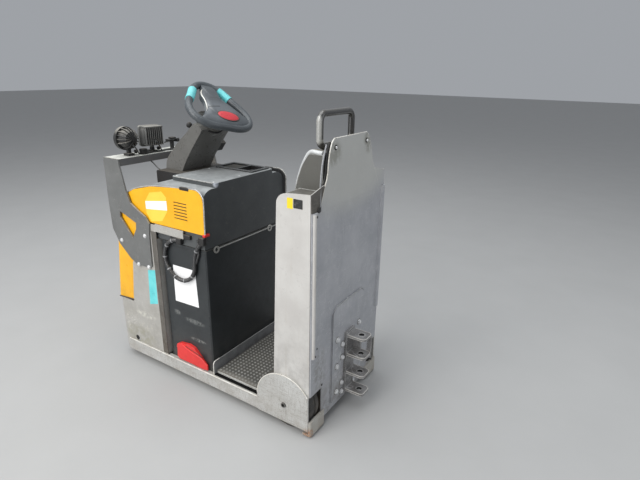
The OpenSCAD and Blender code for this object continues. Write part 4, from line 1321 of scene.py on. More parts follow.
@dataclass
class Chassis:
    """Frame rails, wheel plates, rear wheels and the skids at the rear corners."""

    axle_x: float = 125.0
    axle_z: float = 125.0
    plate_y: float = 310.0
    wheel_y: float = 253.5
    rim_radius: float = 147.2
    rim_inset: float = 0.9
    rim_half: float = 2.3
    rail_half: float = 2.9
    rail_z: float = 105.4
    rail_x: tuple[float, ...] = (1160, 900, 640, 400, 276)
    tyre: Triple = (125.0, 76.0, 95.0)

    def rims(self) -> None:
        """Adds a bright rim round each wheel plate and along the edge of the rail: a pale tube that paints
        the highlight of the rounded edge, with worn paint on it.
        """
        for side, name in SIDES:
            y = side * (self.plate_y - self.rim_inset)
            plate = arc(self.axle_x, self.axle_z, self.rim_radius, range(2, 147, 6))
            # Pale tubes along the plate's arc and the rail's top edge: painted highlight.
            worn = [tube(f"arc_{name}", [at(x, y, z) for x, z in plate], self.rim_half, 8),
                    tube(f"rail_{name}", [at(x, y, self.rail_z) for x in self.rail_x], self.rail_half, 8)]
            mount(joined(f"wheel_plate_rim_{name}", worn), WORN_EDGE_AND_HIGHLIGHT, "chassis_paint")

    def build(self) -> None:
        """Dresses the chassis and adds its rims, tyres and axle nuts."""
        self.rims()
        dress(CHASSIS_PAINT, "side_plates", "base_frame")
        dress(FRAME_PAINT, "wheel_housings")
        dress(RUSTY_STEEL, "rear_skids")
        dress(HUB_METAL, "rear_axles", "rear_hub_left", "rear_hub_right")
        for (side, name), body in zip(SIDES, (Body.REAR_LEFT, Body.REAR_RIGHT)):
            Wheel(f"rear_tyre_{name}", self.axle_x, side * self.wheel_y, *self.tyre, body).build()
        for side, name in SIDES:
            place = at(self.axle_x, side * self.plate_y, self.axle_z)
            Pattern(Unit.BOLT).grow(f"axle_nut_{name}", [place], HUB_METAL, "bolt_steel",
                                    Look[name.upper()], radius=9.5, height=6)


@dataclass
class Platform:
    """The deck that the driver stands on, with its mat and the kick plate."""

    half: float = 274.0
    pitch: float = 19.5
    rear: float = 304.0
    front: float = 534.0
    margin: float = 8.0
    mat_z: float = 126.0
    step_rear: float = 178.0
    step_half: float = 188.0
    kick_x: float = 547.0
    kick_top: float = 175.0
    kick_out: float = 300.0
    kick_round: float = 16.0
    kick_foot: tuple[float, ...] = (108, 132, 158)
    kick_run: float = 40.0
    edge_half: float = 2.4
    gap_shade_x: Pair = (276.0, 544.0)
    gap_shade_y: Pair = (283.0, 301.5)
    gap_shade_z: Pair = (107.8, 109.2)

    def studs(self) -> list[Vector]:
        """Returns the places of the mat's studs, in a square grid.

        Returns:
            The places in metres, row by row from the front.
        """
        across = int(self.half / self.pitch)
        places = []
        for row in range(int((self.front - self.step_rear) / self.pitch)):
            x = self.front - self.margin - row * self.pitch
            half = self.step_half if x < self.rear else self.half
            places += [at(x, i * self.pitch, self.mat_z) for i in range(-across, across + 1)
                       if abs(i * self.pitch) <= half]
        return places

    def kick_edge(self, side: int) -> bpy.types.Object:
        """Runs a bright worn edge round the outer end of the kick plate.

        Args:
            side: 1 for the left end, -1 for the right one.

        Returns:
            The edge.
        """
        turn = arc(self.kick_out - self.kick_round, self.kick_top - self.kick_round, self.kick_round,
                   (15, 35, 55, 75, 90))
        route = [(self.kick_out, z) for z in self.kick_foot] + turn
        route.append((self.kick_out - self.kick_run, self.kick_top))
        path = [at(self.kick_x, side * y, z) for y, z in route]
        return tube(f"kick_end_{side}", path, self.edge_half, 8)

    def build(self) -> None:
        """Dresses the deck and adds the mat's studs, black strips of painted shade in the gaps beside the
        mat, and the kick plate's edges.
        """
        dress(CHASSIS_PAINT, "step_deck")
        dress(MAT_RUBBER, "rubber_mat")
        dress(KICK_STEEL, "kick_plate")
        Pattern(Unit.STUD).grow("mat_studs", self.studs(), STUD_RUBBER, "deck_rubber", radius=5.4, height=1.7)
        # Black strips beside the mat: painted shade in the gap between mat and rail.
        gap_shades = []
        for side, name in SIDES:
            (rear, front), (near, far) = self.gap_shade_x, (side * y for y in self.gap_shade_y)
            outline = [(rear, near), (front, near), (front, far), (rear, far)]
            gap_shades.append(slab(f"gap_shade_{name}", outline, Facing.TOP, *self.gap_shade_z, 0.3))
        mount(joined("deck_gap_shade", gap_shades), PAINTED_GAP_SHADE, "deck_rubber")
        mount(joined("kick_plate_ends", [self.kick_edge(side) for side, _ in SIDES]), WORN_EDGE_AND_HIGHLIGHT, "ring_grey")


@dataclass
class Tower:
    """The rear tower: flanks, rear plate, cowl, pad and grab handle."""

    pad_half: float = 188.0
    pad_middle: float = 881.0
    pad_rise: float = 136.0
    pad_depth: float = 21.0
    pad_pull: float = 0.022
    pad_sink: float = 0.03
    channel_at: float = 0.36
    channel_width: float = 0.045
    channel_depth: float = 0.34
    front_foot: float = 166.0
    front_lean: float = 0.0388
    foot_z: float = 118.0
    shoulder: float = 1002.0
    head_lean: float = 3.0
    screw_half: float = 125.0
    screw_rise: float = 217.0
    rivets: tuple[Triple, ...] = ((-15.6, 282, 402), (-15.6, 282, 990), (-5.4, 256, 421), (-5.4, 212, 222),
                                  (-5.4, -212, 222))
    strip_z: tuple[float, ...] = (394, 600, 800, 998)
    sticker_y: Pair = (301.9, 302.4)
    head: tuple[Pair, ...] = ((243, 0), (228, 38), (206, 82), (190, 105), (181, 130), (174, 170), (166, 196),
                              (157, 219), (146, 238), (130, 250))
    rod: tuple[Triple, ...] = ((247, -2, -8), (243, 13, -6), (234, 76, -1.5), (228, 112, -1), (212, 174, -1),
                               (184, 233, -1))
    flange: tuple[Pair, ...] = ((298, 1), (299.5, 68), (214, 89))
    catch: tuple[Pair, ...] = ((246, 1000), (262, 996), (266, 1008), (258, 1020), (247, 1018))
    shelf_z: float = 1058.0
    cowl_out: float = 192.0
    cowl_front: tuple[Pair, ...] = ((140.8, 1078), (133.8, 1102), (126.8, 1122), (119.8, 1142), (111.8, 1160),
                                    (103.8, 1174), (96.8, 1186), (89.8, 1196), (82.8, 1203), (70, 1209),
                                    (44, 1207), (24, 1206))

    def build(self) -> None:
        """Dresses the tower and adds its pad, stickers, edges, cowl trim, screws and rivets."""
        dress(FLANK_PAINT, "tower_flanks")
        dress(DARK_PANEL, "tower_front")
        dress(REAR_PAINT_AND_SHADE, "back_plate")
        dress(SHELL_PLASTIC, "backrest_shell")
        dress(HANDLE_RUBBER, "grab_handle")
        self.pad()
        self.stickers()
        self.edges()
        self.cowl()
        screw = Pattern(Unit.SCREW)
        heads = [self.on_head(side * self.screw_half, self.screw_rise, -5.6) for side, _ in SIDES]
        # Each screw is a black ring with a smaller bright head in its middle; the bright head paints the
        # highlight on the black screw.
        screw.grow("rear_plate_washers", heads, SEAL_RUBBER_AND_SHADE, "bolt_steel", Look.REAR, radius=10, height=2.2)
        screw.grow("rear_plate_screw_highlights", heads, BOLT_STEEL_AND_GLINT, "bolt_steel", Look.REAR, radius=6, height=6.5)
        rivets = [at(*place) for place in self.rivets]
        screw.grow("rear_plate_rivets", rivets, LAMP_BLACK, "bolt_steel", Look.REAR, radius=5.5, height=3)

    def face(self, z: float) -> float:
        """Returns how far forward the tower's front is at a height."""
        return self.front_foot - (z - self.foot_z) * self.front_lean

    def on_head(self, y: float, rise: float, depth: float) -> Vector:
        """Returns a place on the leaning head of the rear plate.

        Args:
            y: Sideways place.
            rise: Height above the head's shoulder, along the plate.
            depth: Distance in front of the plate's front face.

        Returns:
            The point in metres.
        """
        lean = math.radians(self.head_lean)
        return at(depth * math.cos(lean) + rise * math.sin(lean), y,
                  self.shoulder - depth * math.sin(lean) + rise * math.cos(lean))

    def head_shoulder(self, side: int, name: str) -> bpy.types.Object:
        """Closes the corner between the head's slanted edge and the top of a flank.

        Args:
            side: 1 for the left corner, -1 for the right one.
            name: The side's name.

        Returns:
            The corner sheet.
        """
        outline = list(self.flange) + [(y - 1.0, rise) for y, rise in self.head[2::-1]]
        work = bmesh.new()
        layers = [[work.verts.new(self.on_head(side * y, rise, depth)) for y, rise in outline]
                  for depth in (-4.6, -0.2)]
        for layer in layers:
            work.faces.new(layer)
        bridge(work, layers)
        return finish_mesh(f"shoulder_{name}", work)

    def cowl(self) -> None:
        """Adds a pale tube along the cowl's rounded edge that paints its highlight, and a dark sheet on the
        shelf round the cowl's foot that paints the shade there.
        """
        for side, name in SIDES:
            # Painted highlight: a pale tube along the cowl's rounded front edge.
            edge = [at(x, side * (self.cowl_out - 5.5), z - 4.0) for x, z in self.cowl_front]
            trim(f"cowl_edge_highlight_{name}", edge, 8.0, 16, COWL_EDGE_HIGHLIGHT, "black_plastic", 4,
                 shape=lambda share: 0.62 + 0.5 * share)
            # Painted shade: a black sheet on the shelf round the cowl's foot.
            a, b = sorted((side * (self.cowl_out + 0.8), side * 294))
            mount(slab(f"shelf_gap_shade_{name}", [(7, a), (121, a), (121, b), (7, b)], Facing.TOP,
                       self.shelf_z - 0.2, self.shelf_z + 0.8, 0.3), SEAL_RUBBER_AND_SHADE, "black_plastic")

    def pad_point(self, u: float, v: float) -> Vector:
        """Returns a place on the cover of the back pad.

        Args:
            u: Sideways share, -1 to 1.
            v: Upright share, -1 to 1.

        Returns:
            The point in metres.
        """
        pull = 1 - self.pad_pull * (1 - v * v) * abs(u) ** 6
        sink = 1 - self.pad_sink * (1 - u * u) * abs(v) ** 6
        z = self.pad_middle + self.pad_rise * v * sink
        crown = (max(0.0, 1 - abs(u) ** 5) * max(0.0, 1 - abs(v) ** 5)) ** 0.42
        channel = self.channel_depth * math.exp(-((abs(v) - self.channel_at) / self.channel_width) ** 2)
        swell = 0.55 + 0.45 * math.cos(0.5 * math.pi * u) * math.cos(0.5 * math.pi * v) ** 0.5
        rise = self.pad_depth * crown * (0.62 + 0.38 * swell - channel)
        return at(self.face(z) + 1.0 + max(rise, 1.5), self.pad_half * u * pull, z)

    def pad(self) -> None:
        """Makes the back pad: a crowned foam block with two sewn channels."""
        work = bmesh.new()
        wide, high = 44, 32
        rows = [[work.verts.new(self.pad_point(-1 + 2 * i / wide, -1 + 2 * j / high))
                 for i in range(wide + 1)] for j in range(high + 1)]
        for j in range(high):
            for i in range(wide):
                work.faces.new((rows[j][i], rows[j][i + 1], rows[j + 1][i + 1], rows[j + 1][i]))
        rim = rows[0][:wide] + [row[wide] for row in rows[:high]] + rows[high][:0:-1] + \
            [row[0] for row in rows[:0:-1]]
        low = [work.verts.new(Vector((at(self.face(v.co.z / MM) + 0.4, 0, 0).x, v.co.y, v.co.z)))
               for v in rim]
        for i in range(len(rim)):
            j = (i + 1) % len(rim)
            work.faces.new((rim[i], low[i], low[j], rim[j]))
        work.faces.new(low)
        pad = finish_mesh("back_pad", work, 60)
        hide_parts("backrest_pad")
        mount(pad, PAD_COVER, "black_plastic")

    def stickers(self) -> None:
        """Adds the two blank stickers at the top of the left flank."""
        for name, corners, finish in (("yellow", (78, 1009, 104, 1050), YELLOW_LABEL),
                                      ("black", (34, 1014, 75, 1049), BLACK_LABEL)):
            sticker = slab(f"flank_sticker_{name}", round_rect(*corners, 2), Facing.SIDE, *self.sticker_y, 0)
            mount(sticker, finish, "chassis_paint")

    def edges(self) -> None:
        """Adds the rim and the shoulders of the head, and the seal, rod and strip of its left side. The rim
        is a pale tube that paints the highlight along the head's edge; the black seal paints shade in the gap
        between plate and cowl as well as the rubber seal there.
        """
        slot = "rear_plate_paint"
        # Pale tube round the head's edge: painted highlight.
        rim = [self.on_head(side * y, rise, -2.5) for side, row in ((1, self.head), (-1, self.head[::-1]))
               for y, rise in row]
        trim("head_rim_highlight", rim, 2.7, 8, WORN_EDGE_AND_HIGHLIGHT, slot)
        # The left shoulder takes the darker, browner pillar steel, the right one the plate's grey.
        for (side, name), finish in zip(SIDES, (PILLAR_STEEL_AND_SHADE, REAR_PAINT_AND_SHADE)):
            mount(self.head_shoulder(side, name), finish, slot)
        # Black tube along the head's left edge: the rubber seal, and painted shade in the gap between plate
        # and cowl.
        seal = [self.on_head(y + 4, rise, 5.0) for y, rise in self.head[:-1]]
        trim("head_seal_and_shade", seal, 4.6, 12, SEAL_RUBBER_AND_SHADE, slot, 4)
        trim("head_rod", [self.on_head(*p) for p in self.rod], 3.4, 12, KICK_STEEL, slot, 6)
        trim("edge_strip_left", [at(-9.5, 287, z) for z in self.strip_z], 8.2, 16, FLANK_PAINT, slot)
        mount(slab("rod_catch", self.catch, Facing.REAR, -10.0, 6.0, 1.5), BLACK_PLASTIC, "black_plastic")


@dataclass
class Coupling:
    """The tow coupling with its four levels."""

    heads: tuple[Pair, ...] = ((98, 385), (98, 250), (98, 118), (52, 342), (52, 275), (52, 140), (52, 92))
    plate: tuple[Pair, ...] = ((138.5, 80), (138.5, 530), (112, 552.5), (-112, 552.5), (-138.5, 530))
    cheek: tuple[Pair, ...] = ((-112, 258), (-92, 254), (-88, 300), (-96, 372), (-112, 372))
    tops: tuple[float, ...] = (385, 290, 195, 100)
    pin_x: float = -79.0
    bolt_x: float = -11.2
    weld_x: float = -25.6

    def bushes(self, name: str, profile: Sequence[Pair], finish: Finish) -> None:
        """Turns the same small ring in the pin holes of all levels.

        Args:
            name: Name of the joined piece.
            profile: (radius, height) pairs, from each tongue's top.
            finish: Its finish.
        """
        rings = [turned(f"{name}_{i}", profile, at(self.pin_x, 0, top), (0, 0, 1), 28)
                 for i, top in enumerate(self.tops)]
        mount(joined(name, rings), finish, "coupling_steel")

    def build(self) -> None:
        """Dresses the coupling and adds its bolts, edges, holes, lips, cheek, stop and welds. The darker line
        along the plate's edge paints its shadow, and the black linings of the pin holes paint the shade
        inside them.
        """
        dress(REAR_PAINT_AND_SHADE, "coupling_plate")
        dress(COUPLING_STEEL, "tow_coupling")
        places = [at(self.bolt_x, side * y, z) for y, z in self.heads for side, _ in SIDES]
        Pattern(Unit.SCREW).grow("coupling_washers", places, PILLAR_STEEL_AND_SHADE, "bolt_steel", Look.REAR,
                                 radius=15.5, height=1.4)
        Pattern(Unit.BOLT).grow("coupling_bolts", places, BOLT_STEEL_AND_GLINT, "bolt_steel", Look.REAR,
                                radius=9.8, height=10.5)
        slot = "coupling_steel"
        # Darker grey line along the top and left edges of the plate: painted shadow at the edge.
        trim("coupling_plate_edge_shadow", [at(-11.4, y, z) for y, z in self.plate], 1.1, 8, BAR_PAINT, slot)
        self.bushes("pin_hole_rims", [(12.6, -0.4), (17, -0.4), (16.2, 0.8), (13.6, 0.9)], COUPLING_STEEL)
        # Black linings in the pin holes: painted shade inside them.
        self.bushes("pin_hole_shade", [(12.7, -10.8), (12.7, 0.3), (11.4, 0.3), (11.4, -10.8)], SEAL_RUBBER_AND_SHADE)
        turn = [(-96.6 - 16.6 * math.sin(math.radians(a)), 18 + 17 * math.cos(math.radians(a)))
                for a in range(0, 91, 15)]
        lip = [(-27, 35), *turn, *((x, -y) for x, y in turn[::-1]), (-27, -35)]
        lips = [tube(f"lip_{top:.0f}_{drop}", [at(x, y, top - drop) for x, y in lip], 1.5, 8)
                for top in self.tops for drop in (0.9, 10.1)]
        mount(joined("tongue_lips", lips), WORN_EDGE_AND_HIGHLIGHT, slot)
        mount(slab("tongue_cheek", self.cheek, Facing.SIDE, -39.0, -35.0, 1.0), COUPLING_STEEL, slot)
        mount(box("tongue_stop", (-113, -45, 246), (-84, -36.2, 266), 2.0), LAMP_BLACK, slot)
        beads = []
        for i, top in enumerate(self.tops):
            path = [(self.weld_x + 0.5 * math.sin(k * 2.1 + i), y) for k, y in enumerate(range(-35, 36, 5))]
            beads += [tube(f"bead_{i}_{lift}", [at(x, y, top + lift) for x, y in path], 3.2, 8)
                      for lift in (0.6, -11.6)]
        mount(joined("tongue_welds", beads), COUPLING_STEEL, slot)


@dataclass
class BatteryBay:
    """The battery box with its label, rings, lock and lead."""

    left: float = 286.0
    lead_y: float = 298.0
    lead_radius: float = 8.3
    loop: Triple = (722.0, 655.0, 98.0)
    bend: Triple = (474.0, 655.0, 150.0)
    tied: tuple[int, ...] = (3, 12, 17, 22, 26, 31, 36, 40)
    tie: tuple[Pair, ...] = ((8.0, -2.6), (10.6, -2.6), (10.6, 2.6), (8.0, 2.6))
    label: tuple[Pair, ...] = ((785, 616), (639, 619), (631, 433), (788, 427))
    lever: tuple[Pair, ...] = ((787, 196), (770, 205), (738, 203), (721, 190), (627, 172), (584, 143),
                               (584, 114), (778, 113), (793, 124))
    strand: tuple[Triple, ...] = ((600, 291, 776), (596, 292, 744), (600, 293, 706), (616, 294, 668),
                                  (640, 294, 640))

    def build(self) -> None:
        """Dresses the battery and adds its lead, panel and lock."""
        dress(BATTERY_CASE, "battery")
        dress(RING_ZINC, "lifting_rings")
        dress(RED_PLASTIC, "battery_lock")
        self.lead()
        self.panel()

    def lead(self) -> None:
        """Runs the ribbed lead, a bend and a loop on the left side, with its ties, housings and clips."""
        route = arc(*self.bend, (52, 44, 36, 28, 20, 12, 4)) + \
            arc(*self.loop, (-180 + 270 * i / 36 for i in range(37)))
        path = [at(x, self.lead_y, z) for x, z in route]
        ribs = Pattern(Unit.RIBS)
        lead = ribs.grow("battery_lead", path, CABLE_SHEATH, "cable_black", radius=self.lead_radius,
                         height=1.3, pitch=5.0)
        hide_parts("battery_cable")
        ties = [turned(f"tie_{i}", self.tie, path[i], tuple(path[i + 1] - path[i - 1]), 18)
                for i in self.tied]
        mount(joined("lead_ties", ties), KICK_STEEL, "ring_grey")
        for name, low, high in (("lead_connector_front", (694, 289, 738), (724, 309, 768)),
                                ("lead_connector_rear", (548, 289, 762), (580, 309, 798)),
                                ("lead_clip_front", (728, 287, 744), (770, 300, 766)),
                                ("lead_clip_middle", (640, 287, 770), (688, 301, 790))):
            mount(box(name, low, high, 3.0), BLACK_PLASTIC, "cable_black")
        ribs.grow("battery_lead_second", [at(*p) for p in self.strand], CABLE_SHEATH, "cable_black",
                  radius=5.6, height=1.0, pitch=4.0)
        mount(box("lead_lock_red", (546, 268, 800), (561, 300, 812), 2.5), RED_PLASTIC, "red_plastic")

    def panel(self) -> None:
        """Adds the blank label, the lid's trim, the lock's lever and groove and the seams of the case."""
        mount(slab("battery_label", self.label, Facing.SIDE, self.left - 0.1, self.left + 0.6, 0.3),
              WHITE_LABEL, "battery_black")
        mount(box("lid_trim", (556.5, -216, 720.5), (560.5, 216, 726), 1.2), SILVER_TRIM_AND_HIGHLIGHT, "ring_grey")
        mount(slab("lock_lever", self.lever, Facing.SIDE, 297.0, 305.5, 2.5), RED_PLASTIC, "red_plastic")
        groove = [at(x, 300.2, z) for x, z in ((730, 198), (700, 191), (640, 178.5), (622, 173))]
        trim("lock_groove", groove, 1.5, 8, SEAL_RUBBER_AND_SHADE, "red_plastic")
        seams = [slab(f"seam_{x0}_{z0}", [(x0, z0), (x1, z0), (x1, z1), (x0, z1)], Facing.SIDE,
                      self.left - 0.2, self.left + 0.9, 0.4)
                 for x0, z0, x1, z1 in ((566, 60, 569, 724), (841, 60, 844, 724), (566, 712, 844, 715))]
        mount(joined("case_seams", seams), BATTERY_CASE, "battery_black")


@dataclass
class Hood:
    """The hood over the electrics, its tray and the yellow side covers."""

    vent_low: float = 856.0
    vent_pitch: float = 14.5
    vents: int = 6
    cover_out: float = 296.0
    console_x: tuple[float, ...] = (824, 760, 700, 640, 577)
    console_y: float = 204.2
    console_z: float = 1019.2
    screws: tuple[Pair, ...] = ((586, 188), (818, 188), (586, 20), (818, -20))
    rim: tuple[Pair, ...] = ((1071, 916), (1002, 952), (882, 982), (741, 996), (604, 1005), (583, 1003),
                             (565, 994), (552, 977), (547, 953), (551, 809))
    liner: tuple[Pair, ...] = ((551.8, 807), (548, 952), (553.2, 975.8), (565.6, 993), (583.8, 1002.2),
                               (604, 1004.2), (740, 995.2), (881, 981.2), (998, 951.4), (998, 812))
    octagon: tuple[Pair, ...] = ((922, 846), (922, 908), (887, 951), (806, 968), (776, 944), (777, 878),
                                 (817, 827), (894, 812))
    band: tuple[Pair, ...] = ((922.5, 868), (922.5, 906), (776.5, 928), (776.5, 884))

    def build(self) -> None:
        """Dresses the hood and adds its vents, covers, sticker and console."""
        dress(HOOD_PLASTIC, "hood")
        dress(TRAY_PLASTIC, "storage_tray")
        dress(BLACK_PLASTIC, "steering_plinth")
        dress(YELLOW_PANEL, "side_covers", "front_cover")
        slats = [at(691, side * 291.0, self.vent_low + self.vent_pitch * k)
                 for k in range(self.vents) for side, _ in SIDES]
        Pattern(Unit.SLAT).grow("vent_slats", slats, DARK_PANEL, "hood_charcoal",
                                width=80, height=3, radius=1.6)
        for side, name in SIDES:
            self.cover(side, name)
        self.sticker()
        self.console()

    def cover(self, side: int, name: str) -> None:
        """Adds the bright rim, the liner and the catch of a side cover, and the console's edge. The rim and
        the console's edge are silver tubes that paint the highlights along the top of the cover and the
        console.

        Args:
            side: 1 for the left cover, -1 for the right one.
            name: The side's name.
        """
        # Silver tube along the top of the cover: painted highlight.
        rim = [at(x, side * (self.cover_out - 3.4), z) for x, z in self.rim]
        trim(f"cover_rim_highlight_{name}", rim, 3.2, 10, SILVER_TRIM_AND_HIGHLIGHT, "hood_charcoal", 4)
        # Silver tube along the console's edge: painted highlight.
        edge = [at(x, side * self.console_y, self.console_z) for x in self.console_x]
        trim(f"console_edge_highlight_{name}", edge, 2.6, 10, SILVER_TRIM_AND_HIGHLIGHT, "hood_charcoal", 4)
        mount(slab(f"cover_liner_{name}", self.liner, Facing.SIDE, side * 292.6, side * 286.2, 0.4),
              DARK_PANEL, "hood_charcoal")
        mount(slab(f"cover_catch_{name}", round_rect(628, 992, 686, 1006, 4), Facing.SIDE, side * 284.0,
                   side * 296.6, 1.6), BLACK_PLASTIC, "black_plastic")

    def sticker(self) -> None:
        """Adds the blank octagon sticker with its white band to the left cover."""
        out = self.cover_out
        mount(slab("cover_sticker", self.octagon, Facing.SIDE, out - 0.1, out + 0.4, 0), PALE_LABEL,
              "yellow_plastic")
        mount(slab("cover_sticker_band", self.band, Facing.SIDE, out, out + 0.7, 0), WHITE_LABEL,
              "yellow_plastic")

    def console(self) -> None:
        """Adds the tray's rubber mat and the screws of the console."""
        mount(slab("tray_mat", round_rect(704, -180, 800, -80, 8), Facing.TOP, 1017.8, 1020.4), MAT_RUBBER,
              "black_plastic")
        places = [at(x, y, 1019.6) for x, y in self.screws]
        Pattern(Unit.SCREW).grow("console_screws", places, BOLT_STEEL_AND_GLINT, "bolt_steel", radius=5, height=2.4)


@dataclass
class FrontEnd:
    """Front body, guard plates and cross bar."""

    flank: float = 302.0
    guard_y: float = 310.0
    screws: tuple[Pair, ...] = ((1208.1, 380), (1171.2, 636))
    screw_half: float = 262.0
    gap: tuple[Triple, ...] = ((1212.6, -290, 341.6), (1212.6, 0, 341.6), (1212.6, 290, 341.6))
    bolts: tuple[Pair, ...] = ((936, 735), (1007, 574), (932, 576), (1119, 677))
    pillar: tuple[Pair, ...] = ((864.5, 108), (899, 108), (899, 766), (864.5, 766))
    seam: tuple[Pair, ...] = ((1093, 350), (1213, 340), (1213, 343.5), (1093, 353.5))
    strip: tuple[Pair, ...] = ((953, 553), (900, 564), (905, 381), (966, 363))

    def build(self) -> None:
        """Dresses the front and adds its sides, the cover's screws and gap and the number strip."""
        dress(FRONT_PAINT, "front_body")
        dress(GUARD_PAINT, "guard_plates")
        dress(LAMP_BLACK, "lamp_brackets")
        dress(BAR_PAINT, "cross_bar")
        for side, name in SIDES:
            self.flanks(side, name)
        screws = [at(x, side * self.screw_half, z) for x, z in self.screws for side, _ in SIDES]
        Pattern(Unit.SCREW).grow("cover_screws", screws, BOLT_STEEL_AND_GLINT, "bolt_steel", Look.NOSE,
                                 radius=7, height=3.4)
        trim("cover_gap", [at(*place) for place in self.gap], 2.2, 8, SEAL_RUBBER_AND_SHADE, "black_plastic")
        mount(slab("number_strip", self.strip, Facing.SIDE, 301.9, 302.5, 0.2), TAPE, "chassis_paint")

    def flanks(self, side: int, name: str) -> None:
        """Adds the guard bolts, the pillar's face, the seam and the hole of one side.

        Args:
            side: 1 for the left side, -1 for the right one.
            name: The side's name.
        """
        bolts = [at(x, side * self.guard_y, z) for x, z in self.bolts]
        Pattern(Unit.BOLT).grow(f"guard_bolts_{name}", bolts, BOLT_STEEL_AND_GLINT, "bolt_steel",
                                Look[name.upper()], radius=8, height=6)
        # A flat dark band over the turned-in rear edge of the front body: dirty steel, and painted shade of
        # that edge.
        mount(slab(f"pillar_face_{name}", self.pillar, Facing.SIDE, side * 300.6, side * 302.9, 0.6),
              PILLAR_STEEL_AND_SHADE, "dark_panel")
        mount(slab(f"nose_seam_{name}", self.seam, Facing.SIDE, side * 295.0, side * 302.8, 0.3),
              SEAL_RUBBER_AND_SHADE, "black_plastic")
        hole = turned(f"body_hole_{name}", [(0, 0.6), (12.8, 0.6), (13.6, 0.2), (13.6, -1.2), (0, -1.2)],
                      at(1103, side * self.flank, 125), (0, side, 0), 24)
        mount(hole, SEAL_RUBBER_AND_SHADE, "black_plastic")


@dataclass
class Lamps:
    """The two work lamps on the cross bar, with their leads."""

    places: Pair = (210.0, 72.0)
    height: float = 1165.0
    turn: float = -12.0
    fin_pitch: float = 10.5
    lead: tuple[Triple, ...] = ((1092, 6, 1150), (1078, 2, 1138), (1076, -12, 1118), (1088, -30, 1098),
                                (1100, -44, 1090), (1098, -62, 1089))
    harness: tuple[Triple, ...] = ((1100, 150, 1088), (1090, 120, 1090), (1102, 84, 1088), (1094, 40, 1089),
                                   (1104, 6, 1088), (1098, -30, 1089), (1082, -52, 1088))
    drop: tuple[Triple, ...] = ((1096, 112, 1051), (1078, 108, 1038), (1052, 102, 1014), (1024, 99, 1003),
                                (1002, 98, 1003))

    def build(self) -> None:
        """Dresses the lamps and gives them their lenses, knobs, leads and small boxes."""
        dress(LAMP_BLACK, "work_lamp_left")
        lens = turned("lamp_lens_left", [(0, 4.5), (18, 4.0), (34, 2.6), (47, 0.2), (47, -1.0), (0, -1.0)],
                      at(1148.5, self.places[0], self.height), (1, 0, 0))
        mount(lens, LAMP_GLASS, "lamp_black")
        self.square_lamp()
        for (_, name), y in zip(SIDES, self.places):
            knob = turned(f"lamp_knob_{name}", [(0, 15), (7, 14), (9, 11), (9, 3), (7, 0), (0, 0)],
                          at(1112, y - 24, 1100), (-0.4, -1, 0.1), 16)
            mount(knob, BLACK_PLASTIC, "lamp_black")
            lead = [at(x, y + out, z) for x, out, z in self.lead]
            trim(f"lamp_lead_{name}", lead, 3.2, 10, CABLE_SHEATH, "cable_black", 5)
        for name, route, radius in (("lamp_harness", self.harness, 4.2), ("lamp_drop", self.drop, 3.0)):
            trim(name, [at(*p) for p in route], radius, 10, CABLE_SHEATH, "cable_black", 6)
        mount(box("lamp_switch", (1084, 128, 1083), (1112, 158, 1112), 3.0), BLACK_PLASTIC, "lamp_black")
        bits = [box(f"bit_{low[0]}", low, high, edge) for low, high, edge in (
            ((1088, -84, 1122), (1120, -66, 1138), 3.0), ((1096, -44, 1126), (1138, -30, 1136), 2.0),
            ((1104, -76, 1136), (1132, -44, 1146), 4.0))]
        mount(joined("bracket_clutter", bits), BLACK_PLASTIC, "lamp_black")

    def square_lamp(self) -> None:
        """Makes the right lamp, a square body with fins and a flat top, in place of the round one."""
        y, z = self.places[1], self.height
        body = round_rect(y - 46, z - 44, y + 46, z + 44, 12)
        bezel = round_rect(y - 56, z - 52, y + 56, z + 52, 14)
        parts = [slab("lamp_body", body, Facing.REAR, 1098, 1131, 1.5),
                 slab("lamp_bezel", bezel, Facing.REAR, 1130, 1148, 2.5),
                 box("lamp_top", (1078, y - 46, z + 43), (1131, y + 46, z + 50), 1.5),
                 box("lamp_foot", (1112, y - 8, z - 55), (1128, y + 8, z - 40), 1.5)]
        for i in range(-4, 5):
            fin = y + i * self.fin_pitch
            parts.append(box(f"fin_{i}", (1078, fin - 1.5, z - 43), (1100, fin + 1.5, z + 45), 0.6))
        lamp = joined("work_lamp_square", parts)
        glass = slab("lamp_lens_right", round_rect(y - 46, z - 43, y + 46, z + 43, 12), Facing.REAR,
                     1147.6, 1151.0, 1.4)
        middle = Matrix.Translation(at(1120, y, 0))
        turn = middle @ Matrix.Rotation(math.radians(self.turn), 4, "Z") @ middle.inverted()
        for piece in (lamp, glass):
            piece.data.transform(turn)
        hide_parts("work_lamp_right")
        mount(lamp, LAMP_GREY, "lamp_black")
        mount(glass, LAMP_GLASS, "lamp_black")


